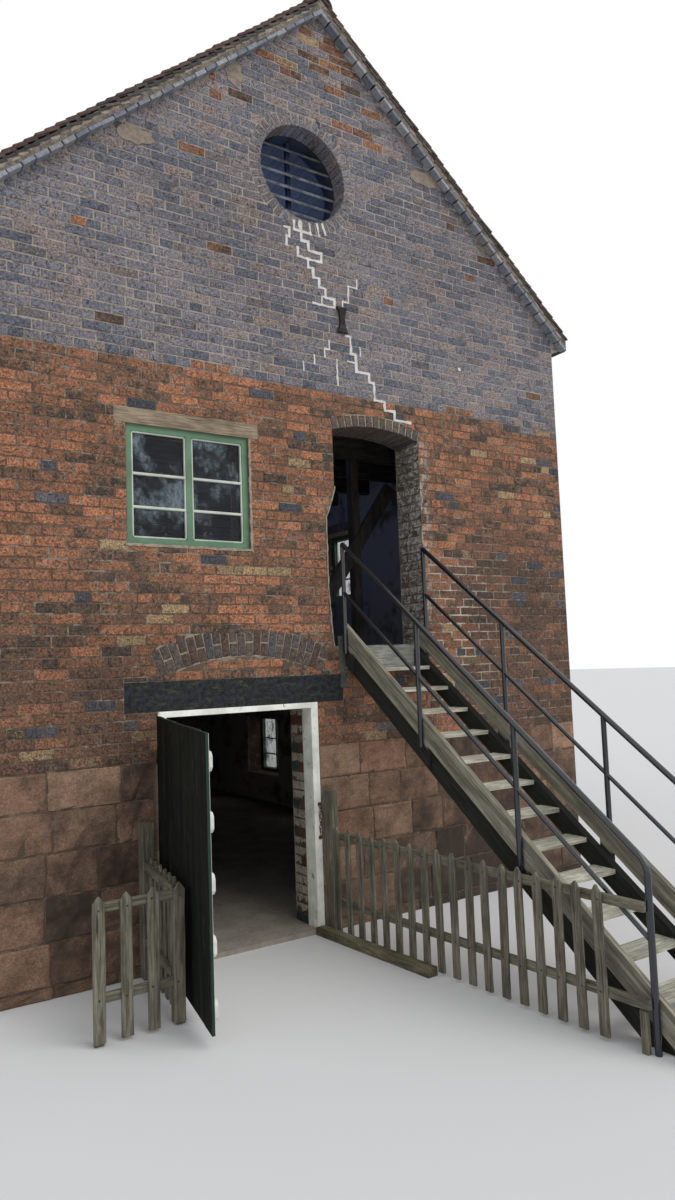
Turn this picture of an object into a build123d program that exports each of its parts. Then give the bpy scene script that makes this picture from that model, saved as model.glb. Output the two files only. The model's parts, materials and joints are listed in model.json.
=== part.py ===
from build123d import *
import os
from math import atan2, cos, degrees, hypot, radians, tan

# Brick watermill building, seen on its gable front. Millimetres, +Z up.
# The origin is on the ground under the middle of the plan, and the front faces -Y.

# Overall form
WIDTH = 5700.0
DEPTH = 9000.0
WALL = 345.0
EAVE_Z = 5600.0
ROOF_PITCH = 41.0
BASE_TOP = 1510.0
FRONT_SPLIT_Z = 4580.0

# Floors
SLAB_TOP = 40.0
UPPER_FLOOR_Z = 2336.0
LOFT_FLOOR_Z = 4660.0
BOARD_T = 30.0
JOIST_W = 75.0
JOIST_H = 200.0
JOIST_COUNT = 11

# Roof
ROOF_T = 70.0
EAVE_OVERHANG = 150.0
VERGE_OVERHANG = 75.0
UNDERCLOAK_T = 14.0
UNDERCLOAK_OUT = 85.0
RIDGE_R = 130.0
RIDGE_T = 18.0
GUTTER_R = 45.0
GUTTER_T = 4.0
GUTTER_LIFT = 45.0
KNEELER_OUT = 110.0
KNEELER_H = 170.0
KNEELER_NOSE = 45.0

# Ground doorway
DOOR_LEFT = -1640.0
DOOR_RIGHT = -246.0
DOOR_HEAD = 1872.0
FRAME_W = 65.0
FRAME_D = 150.0
FRAME_HEAD_H = 45.0
LINTEL_LEFT = -1896.0
LINTEL_RIGHT = 15.0
LINTEL_H = 224.0
ARCH_RISE = 152.0
ARCH_HALF_SPAN = 701.0
ARCH_X = -903.0
ARCH_RING = 228.0
ARCH_SPRING_GAP = 19.0

# Ground door leaf, drawn closed and then turned open
LEAF_W = 1355.0
LEAF_T = 25.0
LEAF_TOP = 1845.0
LEAF_BOTTOM = 108.0
LEAF_SAG = 40.0
LEAF_STANDOFF = 12.0
LEAF_OPEN_ANGLE = 99.0
LEDGE_H = 122.0
LEDGE_T = 30.0
LEDGE_SETBACK = 15.0
LEDGE_COUNT = 5
HINGE_GAP = 14.0
KNUCKLE_R = 11.0
PIN_R = 6.0
PIN_CLEARANCE = 0.1
KNUCKLE_H = 60.0
STRAP_H = 40.0
STRAP_T = 5.0
STRAP_L = 420.0

# Upper doorway
UPPER_LEFT = 0.0
UPPER_W = 950.0
UPPER_SPRING = 4230.0
UPPER_RISE = 70.0
UPPER_RING = 108.0
SILL_H = 196.0
HALF_LEAF_T = 42.0
HALF_LEAF_H = 1150.0
HALF_LEAF_L = 810.0
LEAF_RECESS_W = 104.0
LEAF_RECESS_IN = 50.0
LEAF_RECESS_SPARE = 20.0
JAMB_WEAR = 100.0
JAMB_WEAR_FOOT = 66.0
JAMB_WEAR_D = 110.0
JAMB_WEAR_H = 1380.0

# Windows: all of one size, with a timber frame and a flat lintel
WINDOW_W = 1025.0
WINDOW_H = 916.0
FRONT_WINDOW_X = -1338.0
UPPER_WINDOW_SILL = 3130.0
WINDOW_FRAME = 50.0
WINDOW_FRAME_D = 60.0
WINDOW_RECESS = 25.0
GLASS_T = 6.0
LINTEL_BEARING = 90.0
WINDOW_LINTEL_H = 125.0
SIDE_WINDOW_FIRST = -720.0
SIDE_WINDOW_PITCH = 2420.0

# Round gable vent
VENT_X = -200.0
VENT_Z = 6500.0
VENT_R = 435.0
VENT_RING = 112.0
LOUVRE_PITCH = 115.0
LOUVRE_W = 120.0
LOUVRE_T = 18.0
LOUVRE_TILT = 40.0
LOUVRE_RECESS = 235.0
BATTEN_W = 38.0

# Iron wall tie
TIE_X = 140.0
TIE_Z = 5230.0
TIE_H = 230.0
TIE_W = 110.0
TIE_WAIST = 46.0
TIE_T = 30.0

# Outside stair, with lengths measured out from the wall face
STAIR_LEFT = 50.0
STAIR_RIGHT = 900.0
TREAD_COUNT = 12
TREAD_GOING = 235.6
TREAD_DEPTH = 185.0
TREAD_T = 32.0
FIRST_TREAD_DROP = 197.0
STRING_T = 60.0
STRING_DROP = 172.0
KICK_T = 40.0
KICK_LOW = 45.0
KICK_HIGH = 225.0
PACKER_W = 90.0
RAIL_HIGH = 940.0
RAIL_MID = 525.0
RAIL_R = 20.0
MID_RAIL_R = 15.0
RAIL_POST_R = 19.0
RAIL_POST_FIRST = 45.0
RAIL_POST_PITCH = 965.0
RAIL_POST_COUNT = 4
RAIL_BEND_R = 130.0

# Inside post with its brace
INNER_POST = 95.0
INNER_POST_X = 1215.0
INNER_POST_JOIST = 1
BRACE_W = 140.0
BRACE_T = 60.0
BRACE_LOW_X = 500.0
BRACE_LOW_Z = 2470.0
BRACE_HIGH_X = 1690.0
BRACE_HIGH_Z = 4145.0

# Picket fences, with plan points given as (x, distance out from the wall face)
PICKET_W = 64.0
LEFT_PICKET_W = 74.0
PICKET_T = 20.0
PICKET_H = 865.0
PICKET_POINT = 45.0
PICKET_FOOT = 25.0
RAIL_W = 70.0
RAIL_T = 30.0
UPPER_RAIL_Z = 795.0
LOWER_RAIL_Z = 267.0
RIGHT_FENCE_START = (-200.0, 65.0)
RIGHT_FENCE_END = (-20.0, 2935.0)
RIGHT_PICKET_FIRST = 92.0
RIGHT_PICKET_PITCH = 147.0
RIGHT_PICKETS = 18
POST_W = 90.0
TALL_POST_H = 1150.0
LEFT_POST_H = 1085.0
STUB_POST_H = LOWER_RAIL_Z - RAIL_W / 2
STUB_POST_W = 45.0
LEFT_FENCE_END = (-2390.0, 930.0)
LEFT_FENCE_TURN = (-1866.0, 930.0)
LEFT_PICKET_FIRST = 165.0
LEFT_PICKET_PITCH = 165.0
LEFT_PICKETS = 2
LEFT_END_POST_D = 55.0
CORNER_POST = (-1875.0, 885.0)
CORNER_POST_W = 78.0
LEFT_WALL_POST = (-1765.0, 45.0)
RETURN_PICKET_FIRST = 100.0
RETURN_PICKET_PITCH = 128.0
RETURN_PICKETS = 6
GRAVEL_START = (-292.0, 4.0)
GRAVEL_END = (-187.0, 1300.0)
GRAVEL_W = 90.0
GRAVEL_H = 60.0

HALF = WIDTH / 2
FRONT = -DEPTH / 2
BACK = DEPTH / 2
SLOPE = tan(radians(ROOF_PITCH))
APEX_Z = EAVE_Z + HALF * SLOPE
UPPER_RIGHT = UPPER_LEFT + UPPER_W
LOWER_WINDOW_SILL = BASE_TOP - WINDOW_LINTEL_H - WINDOW_H
LINTEL_TOP = DOOR_HEAD + LINTEL_H
ARCH_SPRING = LINTEL_TOP + ARCH_SPRING_GAP
SILL_BOTTOM = UPPER_FLOOR_Z - SILL_H
TREAD_RISE = (UPPER_FLOOR_Z - FIRST_TREAD_DROP) / TREAD_COUNT
NOSE_OUT = TREAD_DEPTH + 29.0


def block(x0, x1, y0, y1, z0, z1):
    """Box between two corners."""
    centre = Pos((x0 + x1) / 2, (y0 + y1) / 2, (z0 + z1) / 2)
    return centre * Box(x1 - x0, y1 - y0, z1 - z0)


def upright(face, y0, thickness):
    """Outline drawn as (x, z), stood up at y0 and given its thickness towards +Y."""
    plane = Plane(origin=(0, y0, 0), x_dir=(1, 0, 0), z_dir=(0, -1, 0))
    return extrude(plane * face, amount=-thickness)


def sideways(points, x0, thickness):
    """Outline given as (y, z) points, at x0, with its thickness towards +X."""
    face = make_face(Polyline(*points, close=True))
    return Pos(x0, 0, 0) * extrude(Plane.YZ * face, amount=thickness)


def polygon(*points):
    return make_face(Polyline(*points, close=True))


def rectangle(x0, x1, z0, z1):
    return polygon((x0, z0), (x1, z0), (x1, z1), (x0, z1))


def arc_radius(half_span, rise):
    return (half_span ** 2 + rise ** 2) / (2 * rise)


def arch_segment(centre_x, spring_z, half_span, rise, base_z):
    """Area under a segmental arch, down to base_z."""
    left = (centre_x - half_span, spring_z)
    right = (centre_x + half_span, spring_z)
    crown = (centre_x, spring_z + rise)
    curve = ThreePointArc(left, crown, right)
    feet = Polyline(right, (right[0], base_z), (left[0], base_z), left)
    return make_face([curve, feet])


def arch_ring(centre_x, spring_z, half_span, rise, ring):
    """Ring of a segmental arch, with ends cut along its radii."""
    radius = arc_radius(half_span, rise)
    centre_z = spring_z + rise - radius
    grow = (radius + ring) / radius
    left = (centre_x - half_span, spring_z)
    right = (centre_x + half_span, spring_z)
    far_left = (centre_x - half_span * grow, centre_z + (spring_z - centre_z) * grow)
    far_right = (centre_x + half_span * grow, far_left[1])
    inner = ThreePointArc(left, (centre_x, spring_z + rise), right)
    outer = ThreePointArc(far_right, (centre_x, spring_z + rise + ring), far_left)
    return make_face([inner, Line(right, far_right), outer, Line(far_left, left)])


def ground_arch_face():
    return arch_ring(ARCH_X, ARCH_SPRING, ARCH_HALF_SPAN, ARCH_RISE, ARCH_RING)


def ground_arch_infill_face():
    return arch_segment(ARCH_X, ARCH_SPRING, ARCH_HALF_SPAN, ARCH_RISE, LINTEL_TOP)


def upper_door_centre():
    return (UPPER_LEFT + UPPER_RIGHT) / 2


def upper_arch_face():
    return arch_ring(upper_door_centre(), UPPER_SPRING, UPPER_W / 2, UPPER_RISE, UPPER_RING)


def gable_face(base_z):
    return polygon((-HALF, base_z), (HALF, base_z), (HALF, EAVE_Z), (0, APEX_Z), (-HALF, EAVE_Z))


def window_hole_face(centre, sill):
    return rectangle(centre - WINDOW_W / 2, centre + WINDOW_W / 2, sill, sill + WINDOW_H)


def window_lintel_face(centre, sill):
    half = WINDOW_W / 2 + LINTEL_BEARING
    top = sill + WINDOW_H
    return rectangle(centre - half, centre + half, top, top + WINDOW_LINTEL_H)


def ground_door_cut():
    """Opening between the jambs, with the shallow rebate that holds the frame."""
    inner_left = DOOR_LEFT + FRAME_W
    inner_right = DOOR_RIGHT - FRAME_W
    through = block(inner_left, inner_right, FRONT, FRONT + WALL, 0, DOOR_HEAD)
    rebate = block(DOOR_LEFT, DOOR_RIGHT, FRONT, FRONT + FRAME_D, 0, DOOR_HEAD)
    return through + rebate


def front_brickwork():
    """All the brickwork of the front below the gable, less what is let into it."""
    field = upright(rectangle(-HALF, HALF, BASE_TOP, FRONT_SPLIT_Z), FRONT, WALL)
    field -= ground_door_cut()
    field -= lintel_solid()
    field -= upright(ground_arch_face(), FRONT, WALL)
    field -= upright(ground_arch_infill_face(), FRONT, WALL)
    field -= upright(rectangle(UPPER_LEFT, UPPER_RIGHT, SILL_BOTTOM, UPPER_SPRING), FRONT, WALL)
    arch = arch_segment(upper_door_centre(), UPPER_SPRING, UPPER_W / 2, UPPER_RISE, UPPER_SPRING - 1)
    field -= upright(arch, FRONT, WALL)
    field -= upright(upper_arch_face(), FRONT, WALL)
    field -= upright(window_hole_face(FRONT_WINDOW_X, UPPER_WINDOW_SILL), FRONT, WALL)
    field -= upright(window_lintel_face(FRONT_WINDOW_X, UPPER_WINDOW_SILL), FRONT, WALL)
    field -= worn_jamb()
    field -= leaf_recess()
    return field


def worn_jamb():
    """What is broken off the left jamb of the upper doorway, down to its sill."""
    top = UPPER_FLOOR_Z + JAMB_WEAR_H
    shoulder = top - 2.8 * JAMB_WEAR
    waist = UPPER_FLOOR_Z + JAMB_WEAR_H / 3
    edge = polygon(
        (UPPER_LEFT, UPPER_FLOOR_Z),
        (UPPER_LEFT, top),
        (UPPER_LEFT - 0.35 * JAMB_WEAR, top - 1.2 * JAMB_WEAR),
        (UPPER_LEFT - JAMB_WEAR, shoulder),
        (UPPER_LEFT - JAMB_WEAR, waist),
        (UPPER_LEFT - JAMB_WEAR_FOOT, UPPER_FLOOR_Z),
    )
    return upright(edge, FRONT, JAMB_WEAR_D)


def leaf_recess():
    """Room in the left jamb where the half leaf stands open."""
    top = UPPER_FLOOR_Z + HALF_LEAF_H + LEAF_RECESS_SPARE
    left = UPPER_LEFT - LEAF_RECESS_W
    return block(left, UPPER_LEFT, FRONT + LEAF_RECESS_IN, FRONT + WALL, UPPER_FLOOR_Z, top)


def lintel_solid():
    return upright(rectangle(LINTEL_LEFT, LINTEL_RIGHT, DOOR_HEAD, LINTEL_TOP), FRONT, WALL)


def front_region(x0, x1, z0, z1):
    return block(x0, x1, FRONT - 1, FRONT + WALL + 1, z0, z1)


def front_walls():
    field = front_brickwork()
    jamb_left = front_region(DOOR_LEFT - 1, DOOR_LEFT + FRAME_W, BASE_TOP, DOOR_HEAD)
    jamb_right = front_region(DOOR_RIGHT - FRAME_W, DOOR_RIGHT + 1, BASE_TOP, DOOR_HEAD)
    springing = front_region(DOOR_LEFT - 1, ARCH_X - ARCH_HALF_SPAN, LINTEL_TOP - 1, ARCH_SPRING + ARCH_RING / 2)
    left_side = front_region(-HALF, DOOR_LEFT, BASE_TOP, FRONT_SPLIT_Z) + jamb_left + springing
    left = field & left_side
    over_door = front_region(DOOR_LEFT, DOOR_RIGHT, LINTEL_TOP - 1, FRONT_SPLIT_Z) - springing
    beside = front_region(DOOR_RIGHT, UPPER_LEFT, SILL_BOTTOM, FRONT_SPLIT_Z)
    middle = field & (over_door + beside)
    infill = upright(ground_arch_infill_face(), FRONT, WALL)
    under = field & (front_region(DOOR_RIGHT, UPPER_RIGHT, BASE_TOP, SILL_BOTTOM) + jamb_right)
    over = field & front_region(UPPER_LEFT, UPPER_RIGHT, UPPER_SPRING - 1, FRONT_SPLIT_Z)
    right = field & front_region(UPPER_RIGHT, HALF, BASE_TOP, FRONT_SPLIT_Z)
    gable = upright(gable_face(FRONT_SPLIT_Z), FRONT, WALL) - vent_hole(FRONT)
    return {
        "front_wall_left": left,
        "front_wall_middle": middle,
        "arch_infill": infill,
        "front_wall_under_door": under,
        "front_wall_over_door": over,
        "front_wall_right": right,
        "front_gable": gable,
    }


def front_bases():
    cut = ground_door_cut()
    left = block(-HALF, DOOR_LEFT + FRAME_W, FRONT, FRONT + WALL, 0, BASE_TOP) - cut
    right = block(DOOR_RIGHT - FRAME_W, HALF, FRONT, FRONT + WALL, 0, BASE_TOP) - cut
    return left, right


def vent_hole(y0):
    hole = Pos(VENT_X, VENT_Z) * Circle(VENT_R + VENT_RING)
    return upright(hole, y0, WALL)


def vent_ring(y0):
    ring = Circle(VENT_R + VENT_RING) - Circle(VENT_R)
    return upright(Pos(VENT_X, VENT_Z) * ring, y0, WALL)


def vent_louvres(y_out, inward):
    """Sloping slats on a batten behind them, trimmed to the round opening."""
    centre_y = y_out + inward * LOUVRE_RECESS
    frame = None
    reach = int(VENT_R // LOUVRE_PITCH)
    for index in range(-reach, reach + 1):
        slat = Box(2 * VENT_R, LOUVRE_W, LOUVRE_T)
        turned = Rot(inward * LOUVRE_TILT, 0, 0) * slat
        placed = Pos(VENT_X, centre_y, VENT_Z + index * LOUVRE_PITCH) * turned
        frame = placed if frame is None else frame + placed
    back_y = centre_y + inward * (LOUVRE_W / 2 * cos(radians(LOUVRE_TILT)))
    batten = Box(BATTEN_W, BATTEN_W, 2 * VENT_R)
    frame += Pos(VENT_X, back_y, VENT_Z) * batten
    bore = Pos(VENT_X, centre_y, VENT_Z) * Rot(90, 0, 0) * Cylinder(VENT_R, 3 * LOUVRE_W)
    return frame & bore


def side_hole(side, centre_y, sill):
    x0 = side * (HALF - WALL / 2)
    z0 = sill + WINDOW_H / 2
    return Pos(x0, centre_y, z0) * Box(WALL, WINDOW_W, WINDOW_H)


def side_lintel(side, centre_y, sill):
    """Lintel over a window of a side wall, as deep as the wall."""
    x0 = side * (HALF - WALL / 2)
    z0 = sill + WINDOW_H + WINDOW_LINTEL_H / 2
    length = WINDOW_W + 2 * LINTEL_BEARING
    return Pos(x0, centre_y, z0) * Box(WALL, length, WINDOW_LINTEL_H)


def side_window_places():
    """Wall side, place along the wall and sill of each window in the long walls."""
    places = []
    for side in (-1, 1):
        for along in (SIDE_WINDOW_FIRST, SIDE_WINDOW_FIRST + SIDE_WINDOW_PITCH):
            for sill in (LOWER_WINDOW_SILL, UPPER_WINDOW_SILL):
                places.append((side, along, sill))
    return places


def side_walls(z0, z1):
    walls = []
    for side in (-1, 1):
        outer = side * HALF
        inner = side * (HALF - WALL)
        low, high = min(outer, inner), max(outer, inner)
        wall = block(low, high, FRONT + WALL, BACK - WALL, z0, z1)
        for place in side_window_places():
            if place[0] == side and z0 <= place[2] < z1:
                wall -= side_hole(*place)
                wall -= side_lintel(*place)
        walls.append(wall)
    return walls


def back_part(face):
    part = upright(face, BACK - WALL, WALL)
    for sill in (LOWER_WINDOW_SILL, UPPER_WINDOW_SILL):
        part -= upright(window_hole_face(0, sill), BACK - WALL, WALL)
        part -= back_lintel(sill)
    return part


def back_lintel(sill):
    return upright(window_lintel_face(0, sill), BACK - WALL, WALL)


def window_frame():
    """Two-light timber frame, centred on the origin, with its face towards -Y."""
    outer = Rectangle(WINDOW_W, WINDOW_H)
    light_w = (WINDOW_W - 3 * WINDOW_FRAME) / 2
    light_h = WINDOW_H - 2 * WINDOW_FRAME
    shift = (light_w + WINDOW_FRAME) / 2
    for side in (-1, 1):
        outer -= Pos(side * shift, 0) * Rectangle(light_w, light_h)
    return upright(outer, 0, WINDOW_FRAME_D)


def window_glass():
    """One sheet that closes both lights, let into the middle of the frame."""
    light_w = (WINDOW_W - 3 * WINDOW_FRAME) / 2
    light_h = WINDOW_H - 2 * WINDOW_FRAME
    shift = (light_w + WINDOW_FRAME) / 2
    inset = (WINDOW_FRAME_D - GLASS_T) / 2
    panes = []
    for side in (-1, 1):
        pane = upright(Rectangle(light_w, light_h), inset, GLASS_T)
        panes.append(Pos(side * shift, 0, 0) * pane)
    return panes


def window_locations():
    """Place and turn of every window: front, long walls, back."""
    middle = WINDOW_H / 2
    places = [Pos(FRONT_WINDOW_X, FRONT + WINDOW_RECESS, UPPER_WINDOW_SILL + middle)]
    for side, along, sill in side_window_places():
        turn = Rot(0, 0, side * 90)
        places.append(Pos(side * (HALF - WINDOW_RECESS), along, sill + middle) * turn)
    for sill in (LOWER_WINDOW_SILL, UPPER_WINDOW_SILL):
        places.append(Pos(0, BACK - WINDOW_RECESS, sill + middle) * Rot(0, 0, 180))
    return places


def window_lintels():
    lintels = [upright(window_lintel_face(FRONT_WINDOW_X, UPPER_WINDOW_SILL), FRONT, WALL)]
    lintels += [side_lintel(*place) for place in side_window_places()]
    lintels += [back_lintel(sill) for sill in (LOWER_WINDOW_SILL, UPPER_WINDOW_SILL)]
    return lintels


def floor_boards(top):
    inner_x = HALF - WALL
    inner_y = DEPTH / 2 - WALL
    return block(-inner_x, inner_x, -inner_y, inner_y, top - BOARD_T, top)


def joist_y(index):
    inner_y = DEPTH / 2 - WALL
    return -inner_y + (index + 0.5) * 2 * inner_y / JOIST_COUNT


def floor_joists(top):
    inner_x = HALF - WALL
    joists = []
    for index in range(JOIST_COUNT):
        y = joist_y(index)
        high = top - BOARD_T
        joists.append(block(-inner_x, inner_x, y - JOIST_W / 2, y + JOIST_W / 2, high - JOIST_H, high))
    return joists


def inner_post():
    """Post with a raking brace, from the upper floor to the joists above."""
    top = LOFT_FLOOR_Z - BOARD_T - JOIST_H
    y = joist_y(INNER_POST_JOIST)
    half = INNER_POST / 2
    post = block(INNER_POST_X - half, INNER_POST_X + half, y - half, y + half, UPPER_FLOOR_Z, top)
    run = BRACE_HIGH_X - BRACE_LOW_X
    rise = BRACE_HIGH_Z - BRACE_LOW_Z
    length = hypot(run, rise)
    brace = Box(length, BRACE_T, BRACE_W)
    brace = Rot(0, -degrees(atan2(rise, run)), 0) * brace
    middle_x = (BRACE_LOW_X + BRACE_HIGH_X) / 2
    middle_z = (BRACE_LOW_Z + BRACE_HIGH_Z) / 2
    return post + Pos(middle_x, y - half, middle_z) * brace


def roof_slope(side):
    """One slope as a slab that rests on the gables and runs past the eaves."""
    reach = HALF + EAVE_OVERHANG
    lift = ROOF_T / cos(radians(ROOF_PITCH))
    eave = APEX_Z - reach * SLOPE
    face = polygon((0, APEX_Z), (side * reach, eave), (side * reach, eave + lift), (0, APEX_Z + lift))
    return upright(face, FRONT - VERGE_OVERHANG, DEPTH + 2 * VERGE_OVERHANG)


def ridge():
    """Half-round ridge, trimmed where it lies on the slopes."""
    lift = ROOF_T / cos(radians(ROOF_PITCH))
    centre_z = APEX_Z + lift - RIDGE_R * 0.35
    ring = Pos(0, centre_z) * (Circle(RIDGE_R) - Circle(RIDGE_R - RIDGE_T))
    reach = 3 * RIDGE_R
    top = APEX_Z + lift
    under = polygon((0, top), (reach, top - reach * SLOPE), (0, top - 4 * reach), (-reach, top - reach * SLOPE))
    return upright(ring - under, FRONT - VERGE_OVERHANG, DEPTH + 2 * VERGE_OVERHANG)


def verge(side, y0):
    """Row of undercloak tiles under the overhanging edge of a slope."""
    drop = UNDERCLOAK_T / cos(radians(ROOF_PITCH))
    foot = HALF + EAVE_OVERHANG
    low = APEX_Z - foot * SLOPE
    face = polygon((0, APEX_Z), (side * foot, low), (side * foot, low - drop), (0, APEX_Z - drop))
    return upright(face, y0, UNDERCLOAK_OUT)


def verges():
    strips = []
    for y0 in (FRONT - UNDERCLOAK_OUT, BACK):
        pair = verge(1, y0) + verge(-1, y0)
        strips.append(pair)
    return strips


def kneeler(side, y0):
    """Corbelled foot of the gable under the eaves."""
    out = side * (HALF + KNEELER_OUT)
    under = EAVE_Z - KNEELER_OUT * SLOPE
    wall = side * HALF
    face = polygon((wall, EAVE_Z - KNEELER_H), (out, under - KNEELER_NOSE), (out, under), (wall, EAVE_Z))
    return upright(face, y0, WALL)


def kneelers():
    return [kneeler(side, y0) for side in (-1, 1) for y0 in (FRONT, BACK - WALL)]


def gutter(side):
    """Half-round gutter, closed at its ends, along the foot of a slope."""
    edge = HALF + EAVE_OVERHANG
    rim = APEX_Z - edge * SLOPE + GUTTER_LIFT
    centre = Pos(side * (edge + GUTTER_R), rim)
    lower = Pos(side * (edge + GUTTER_R), rim - GUTTER_R) * Rectangle(4 * GUTTER_R, 2 * GUTTER_R)
    body = (centre * Circle(GUTTER_R)) & lower
    hollow = (centre * Circle(GUTTER_R - GUTTER_T)) & lower
    whole = upright(body, FRONT, DEPTH)
    return whole - upright(hollow, FRONT + GUTTER_T, DEPTH - 2 * GUTTER_T)


def door_frame():
    """Two posts and a head between them, let into the rebate."""
    posts = []
    for x0 in (DOOR_LEFT, DOOR_RIGHT - FRAME_W):
        posts.append(block(x0, x0 + FRAME_W, FRONT, FRONT + FRAME_D, 0, DOOR_HEAD))
    head_left = DOOR_LEFT + FRAME_W
    head_right = DOOR_RIGHT - FRAME_W
    head = block(head_left, head_right, FRONT, FRONT + FRAME_D, DOOR_HEAD - FRAME_HEAD_H, DOOR_HEAD)
    return posts, head


def hinge_axis():
    """Plan place of the hinge pins."""
    y = FRONT - LEAF_STANDOFF - LEAF_T / 2
    return DOOR_LEFT - HINGE_GAP, y


def leaf_line(x):
    """Drop of the sagging leaf at a distance from its hinge edge."""
    return LEAF_SAG * (x - DOOR_LEFT) / LEAF_W


def sagging_bar(x0, x1, z0, z1):
    """Outline between two heights that follows the sag of the leaf."""
    low = leaf_line(x0)
    high = leaf_line(x1)
    return polygon((x0, z0 - low), (x1, z0 - high), (x1, z1 - high), (x0, z1 - low))


def turned_open(shape):
    x, y = hinge_axis()
    return Pos(x, y, 0) * Rot(0, 0, -LEAF_OPEN_ANGLE) * Pos(-x, -y, 0) * shape


def ledge_heights():
    low = LEAF_BOTTOM + LEDGE_H
    high = LEAF_TOP - 1.5 * LEDGE_H
    step = (high - low) / (LEDGE_COUNT - 1)
    return [low + index * step for index in range(LEDGE_COUNT)]


def door_boards():
    y0 = FRONT - LEAF_STANDOFF - LEAF_T
    face = sagging_bar(DOOR_LEFT, DOOR_LEFT + LEAF_W, LEAF_BOTTOM, LEAF_TOP)
    return turned_open(upright(face, y0, LEAF_T))


def door_ledges():
    y0 = FRONT - LEAF_STANDOFF
    x0 = DOOR_LEFT + FRAME_W + LEDGE_SETBACK
    x1 = DOOR_RIGHT - FRAME_W - LEDGE_SETBACK
    ledges = []
    for z in ledge_heights():
        face = sagging_bar(x0, x1, z - LEDGE_H / 2, z + LEDGE_H / 2)
        ledges.append(turned_open(upright(face, y0, LEDGE_T)))
    return ledges


def strap_heights():
    """Straps lie just clear of the lowest ledge and the highest one."""
    heights = ledge_heights()
    clear = LEDGE_H / 2 + STRAP_H / 2 + 15.0
    return [heights[0] + clear, heights[-1] - clear]


def door_straps():
    """Hinge straps on the inner face of the leaf, each with its knuckle."""
    axis_x, axis_y = hinge_axis()
    straps = []
    for z in strap_heights():
        y0 = FRONT - LEAF_STANDOFF
        face = sagging_bar(axis_x, DOOR_LEFT + STRAP_L, z - STRAP_H / 2, z + STRAP_H / 2)
        bar = upright(face, y0, STRAP_T)
        link = block(axis_x, DOOR_LEFT, axis_y, y0 + STRAP_T, z - STRAP_H / 2, z + STRAP_H / 2)
        knuckle = Pos(axis_x, axis_y, z) * Cylinder(KNUCKLE_R, KNUCKLE_H)
        bore = Pos(axis_x, axis_y, z) * Cylinder(PIN_R + PIN_CLEARANCE, 2 * KNUCKLE_H)
        straps.append(turned_open(bar + link + knuckle - bore))
    return straps


def door_pintles():
    """Pins that carry the knuckles, each on a bracket fixed to the hinge post."""
    axis_x, axis_y = hinge_axis()
    pintles = []
    for z in strap_heights():
        foot = z - KNUCKLE_H / 2 - PIN_CLEARANCE
        top = z + KNUCKLE_H / 2
        pin = Pos(axis_x, axis_y, (foot + top) / 2) * Cylinder(PIN_R, top - foot)
        bracket = block(axis_x - PIN_R, axis_x + PIN_R, axis_y - PIN_R, FRONT, foot - STRAP_H, foot)
        pintles.append(pin + bracket)
    return pintles


def half_leaf():
    """Lower leaf of the upper doorway, standing open in its recess in the left jamb."""
    left = UPPER_LEFT - LEAF_RECESS_W
    front = FRONT + LEAF_RECESS_IN
    top = UPPER_FLOOR_Z + HALF_LEAF_H
    return block(left, left + HALF_LEAF_T, front, front + HALF_LEAF_L, UPPER_FLOOR_Z, top)


def wall_tie():
    """Flat iron pattress with flared ends and a narrow waist."""
    half_w = TIE_W / 2
    half_h = TIE_H / 2
    waist = TIE_WAIST / 2
    right = ThreePointArc((half_w, half_h), (waist, 0), (half_w, -half_h))
    left = ThreePointArc((-half_w, -half_h), (-waist, 0), (-half_w, half_h))
    top = Line((-half_w, half_h), (half_w, half_h))
    bottom = Line((half_w, -half_h), (-half_w, -half_h))
    face = make_face([right, bottom, left, top])
    return upright(Pos(TIE_X, TIE_Z) * face, FRONT - TIE_T, TIE_T)


def nosing_z(out):
    """Height of the line through the tread noses at a distance out from the wall."""
    return UPPER_FLOOR_Z - FIRST_TREAD_DROP - (out - NOSE_OUT) * TREAD_RISE / TREAD_GOING


def out_at(height):
    """Distance out from the wall at which the nosing line has a height."""
    return NOSE_OUT + (UPPER_FLOOR_Z - FIRST_TREAD_DROP - height) * TREAD_GOING / TREAD_RISE


def raking_board(x0, thickness, low, high):
    """Board along the flight, from the wall face down to the ground."""
    low_foot = FRONT - out_at(-low)
    high_foot = FRONT - out_at(-high)
    points = (
        (FRONT, nosing_z(0) + low),
        (FRONT, nosing_z(0) + high),
        (high_foot, 0),
        (low_foot, 0),
    )
    return sideways(points, x0, thickness)


def rail_post_outs():
    """Distances out from the wall at which the handrail posts stand."""
    return [RAIL_POST_FIRST + index * RAIL_POST_PITCH for index in range(RAIL_POST_COUNT)]


def kick_board(x0):
    """Raised side board, with a packing piece down to the string at each upper post."""
    board = raking_board(x0, KICK_T, KICK_LOW, KICK_HIGH)
    for out in rail_post_outs()[:-1]:
        near = max(out - PACKER_W / 2, 0)
        far = near + PACKER_W
        drop = KICK_LOW - STRING_DROP
        points = (
            (FRONT - near, nosing_z(near) + drop),
            (FRONT - near, nosing_z(near) + KICK_HIGH),
            (FRONT - far, nosing_z(far) + KICK_HIGH),
            (FRONT - far, nosing_z(far) + drop),
        )
        board += sideways(points, x0, KICK_T)
    return board


def stair_strings():
    """Two bearing strings with a raised kick board outside each."""
    left = STAIR_LEFT + KICK_T
    right = STAIR_RIGHT - KICK_T - STRING_T
    strings = [raking_board(x0, STRING_T, -STRING_DROP, 0) for x0 in (left, right)]
    kicks = [kick_board(x0) for x0 in (STAIR_LEFT, STAIR_RIGHT - KICK_T)]
    return strings + kicks


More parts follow.
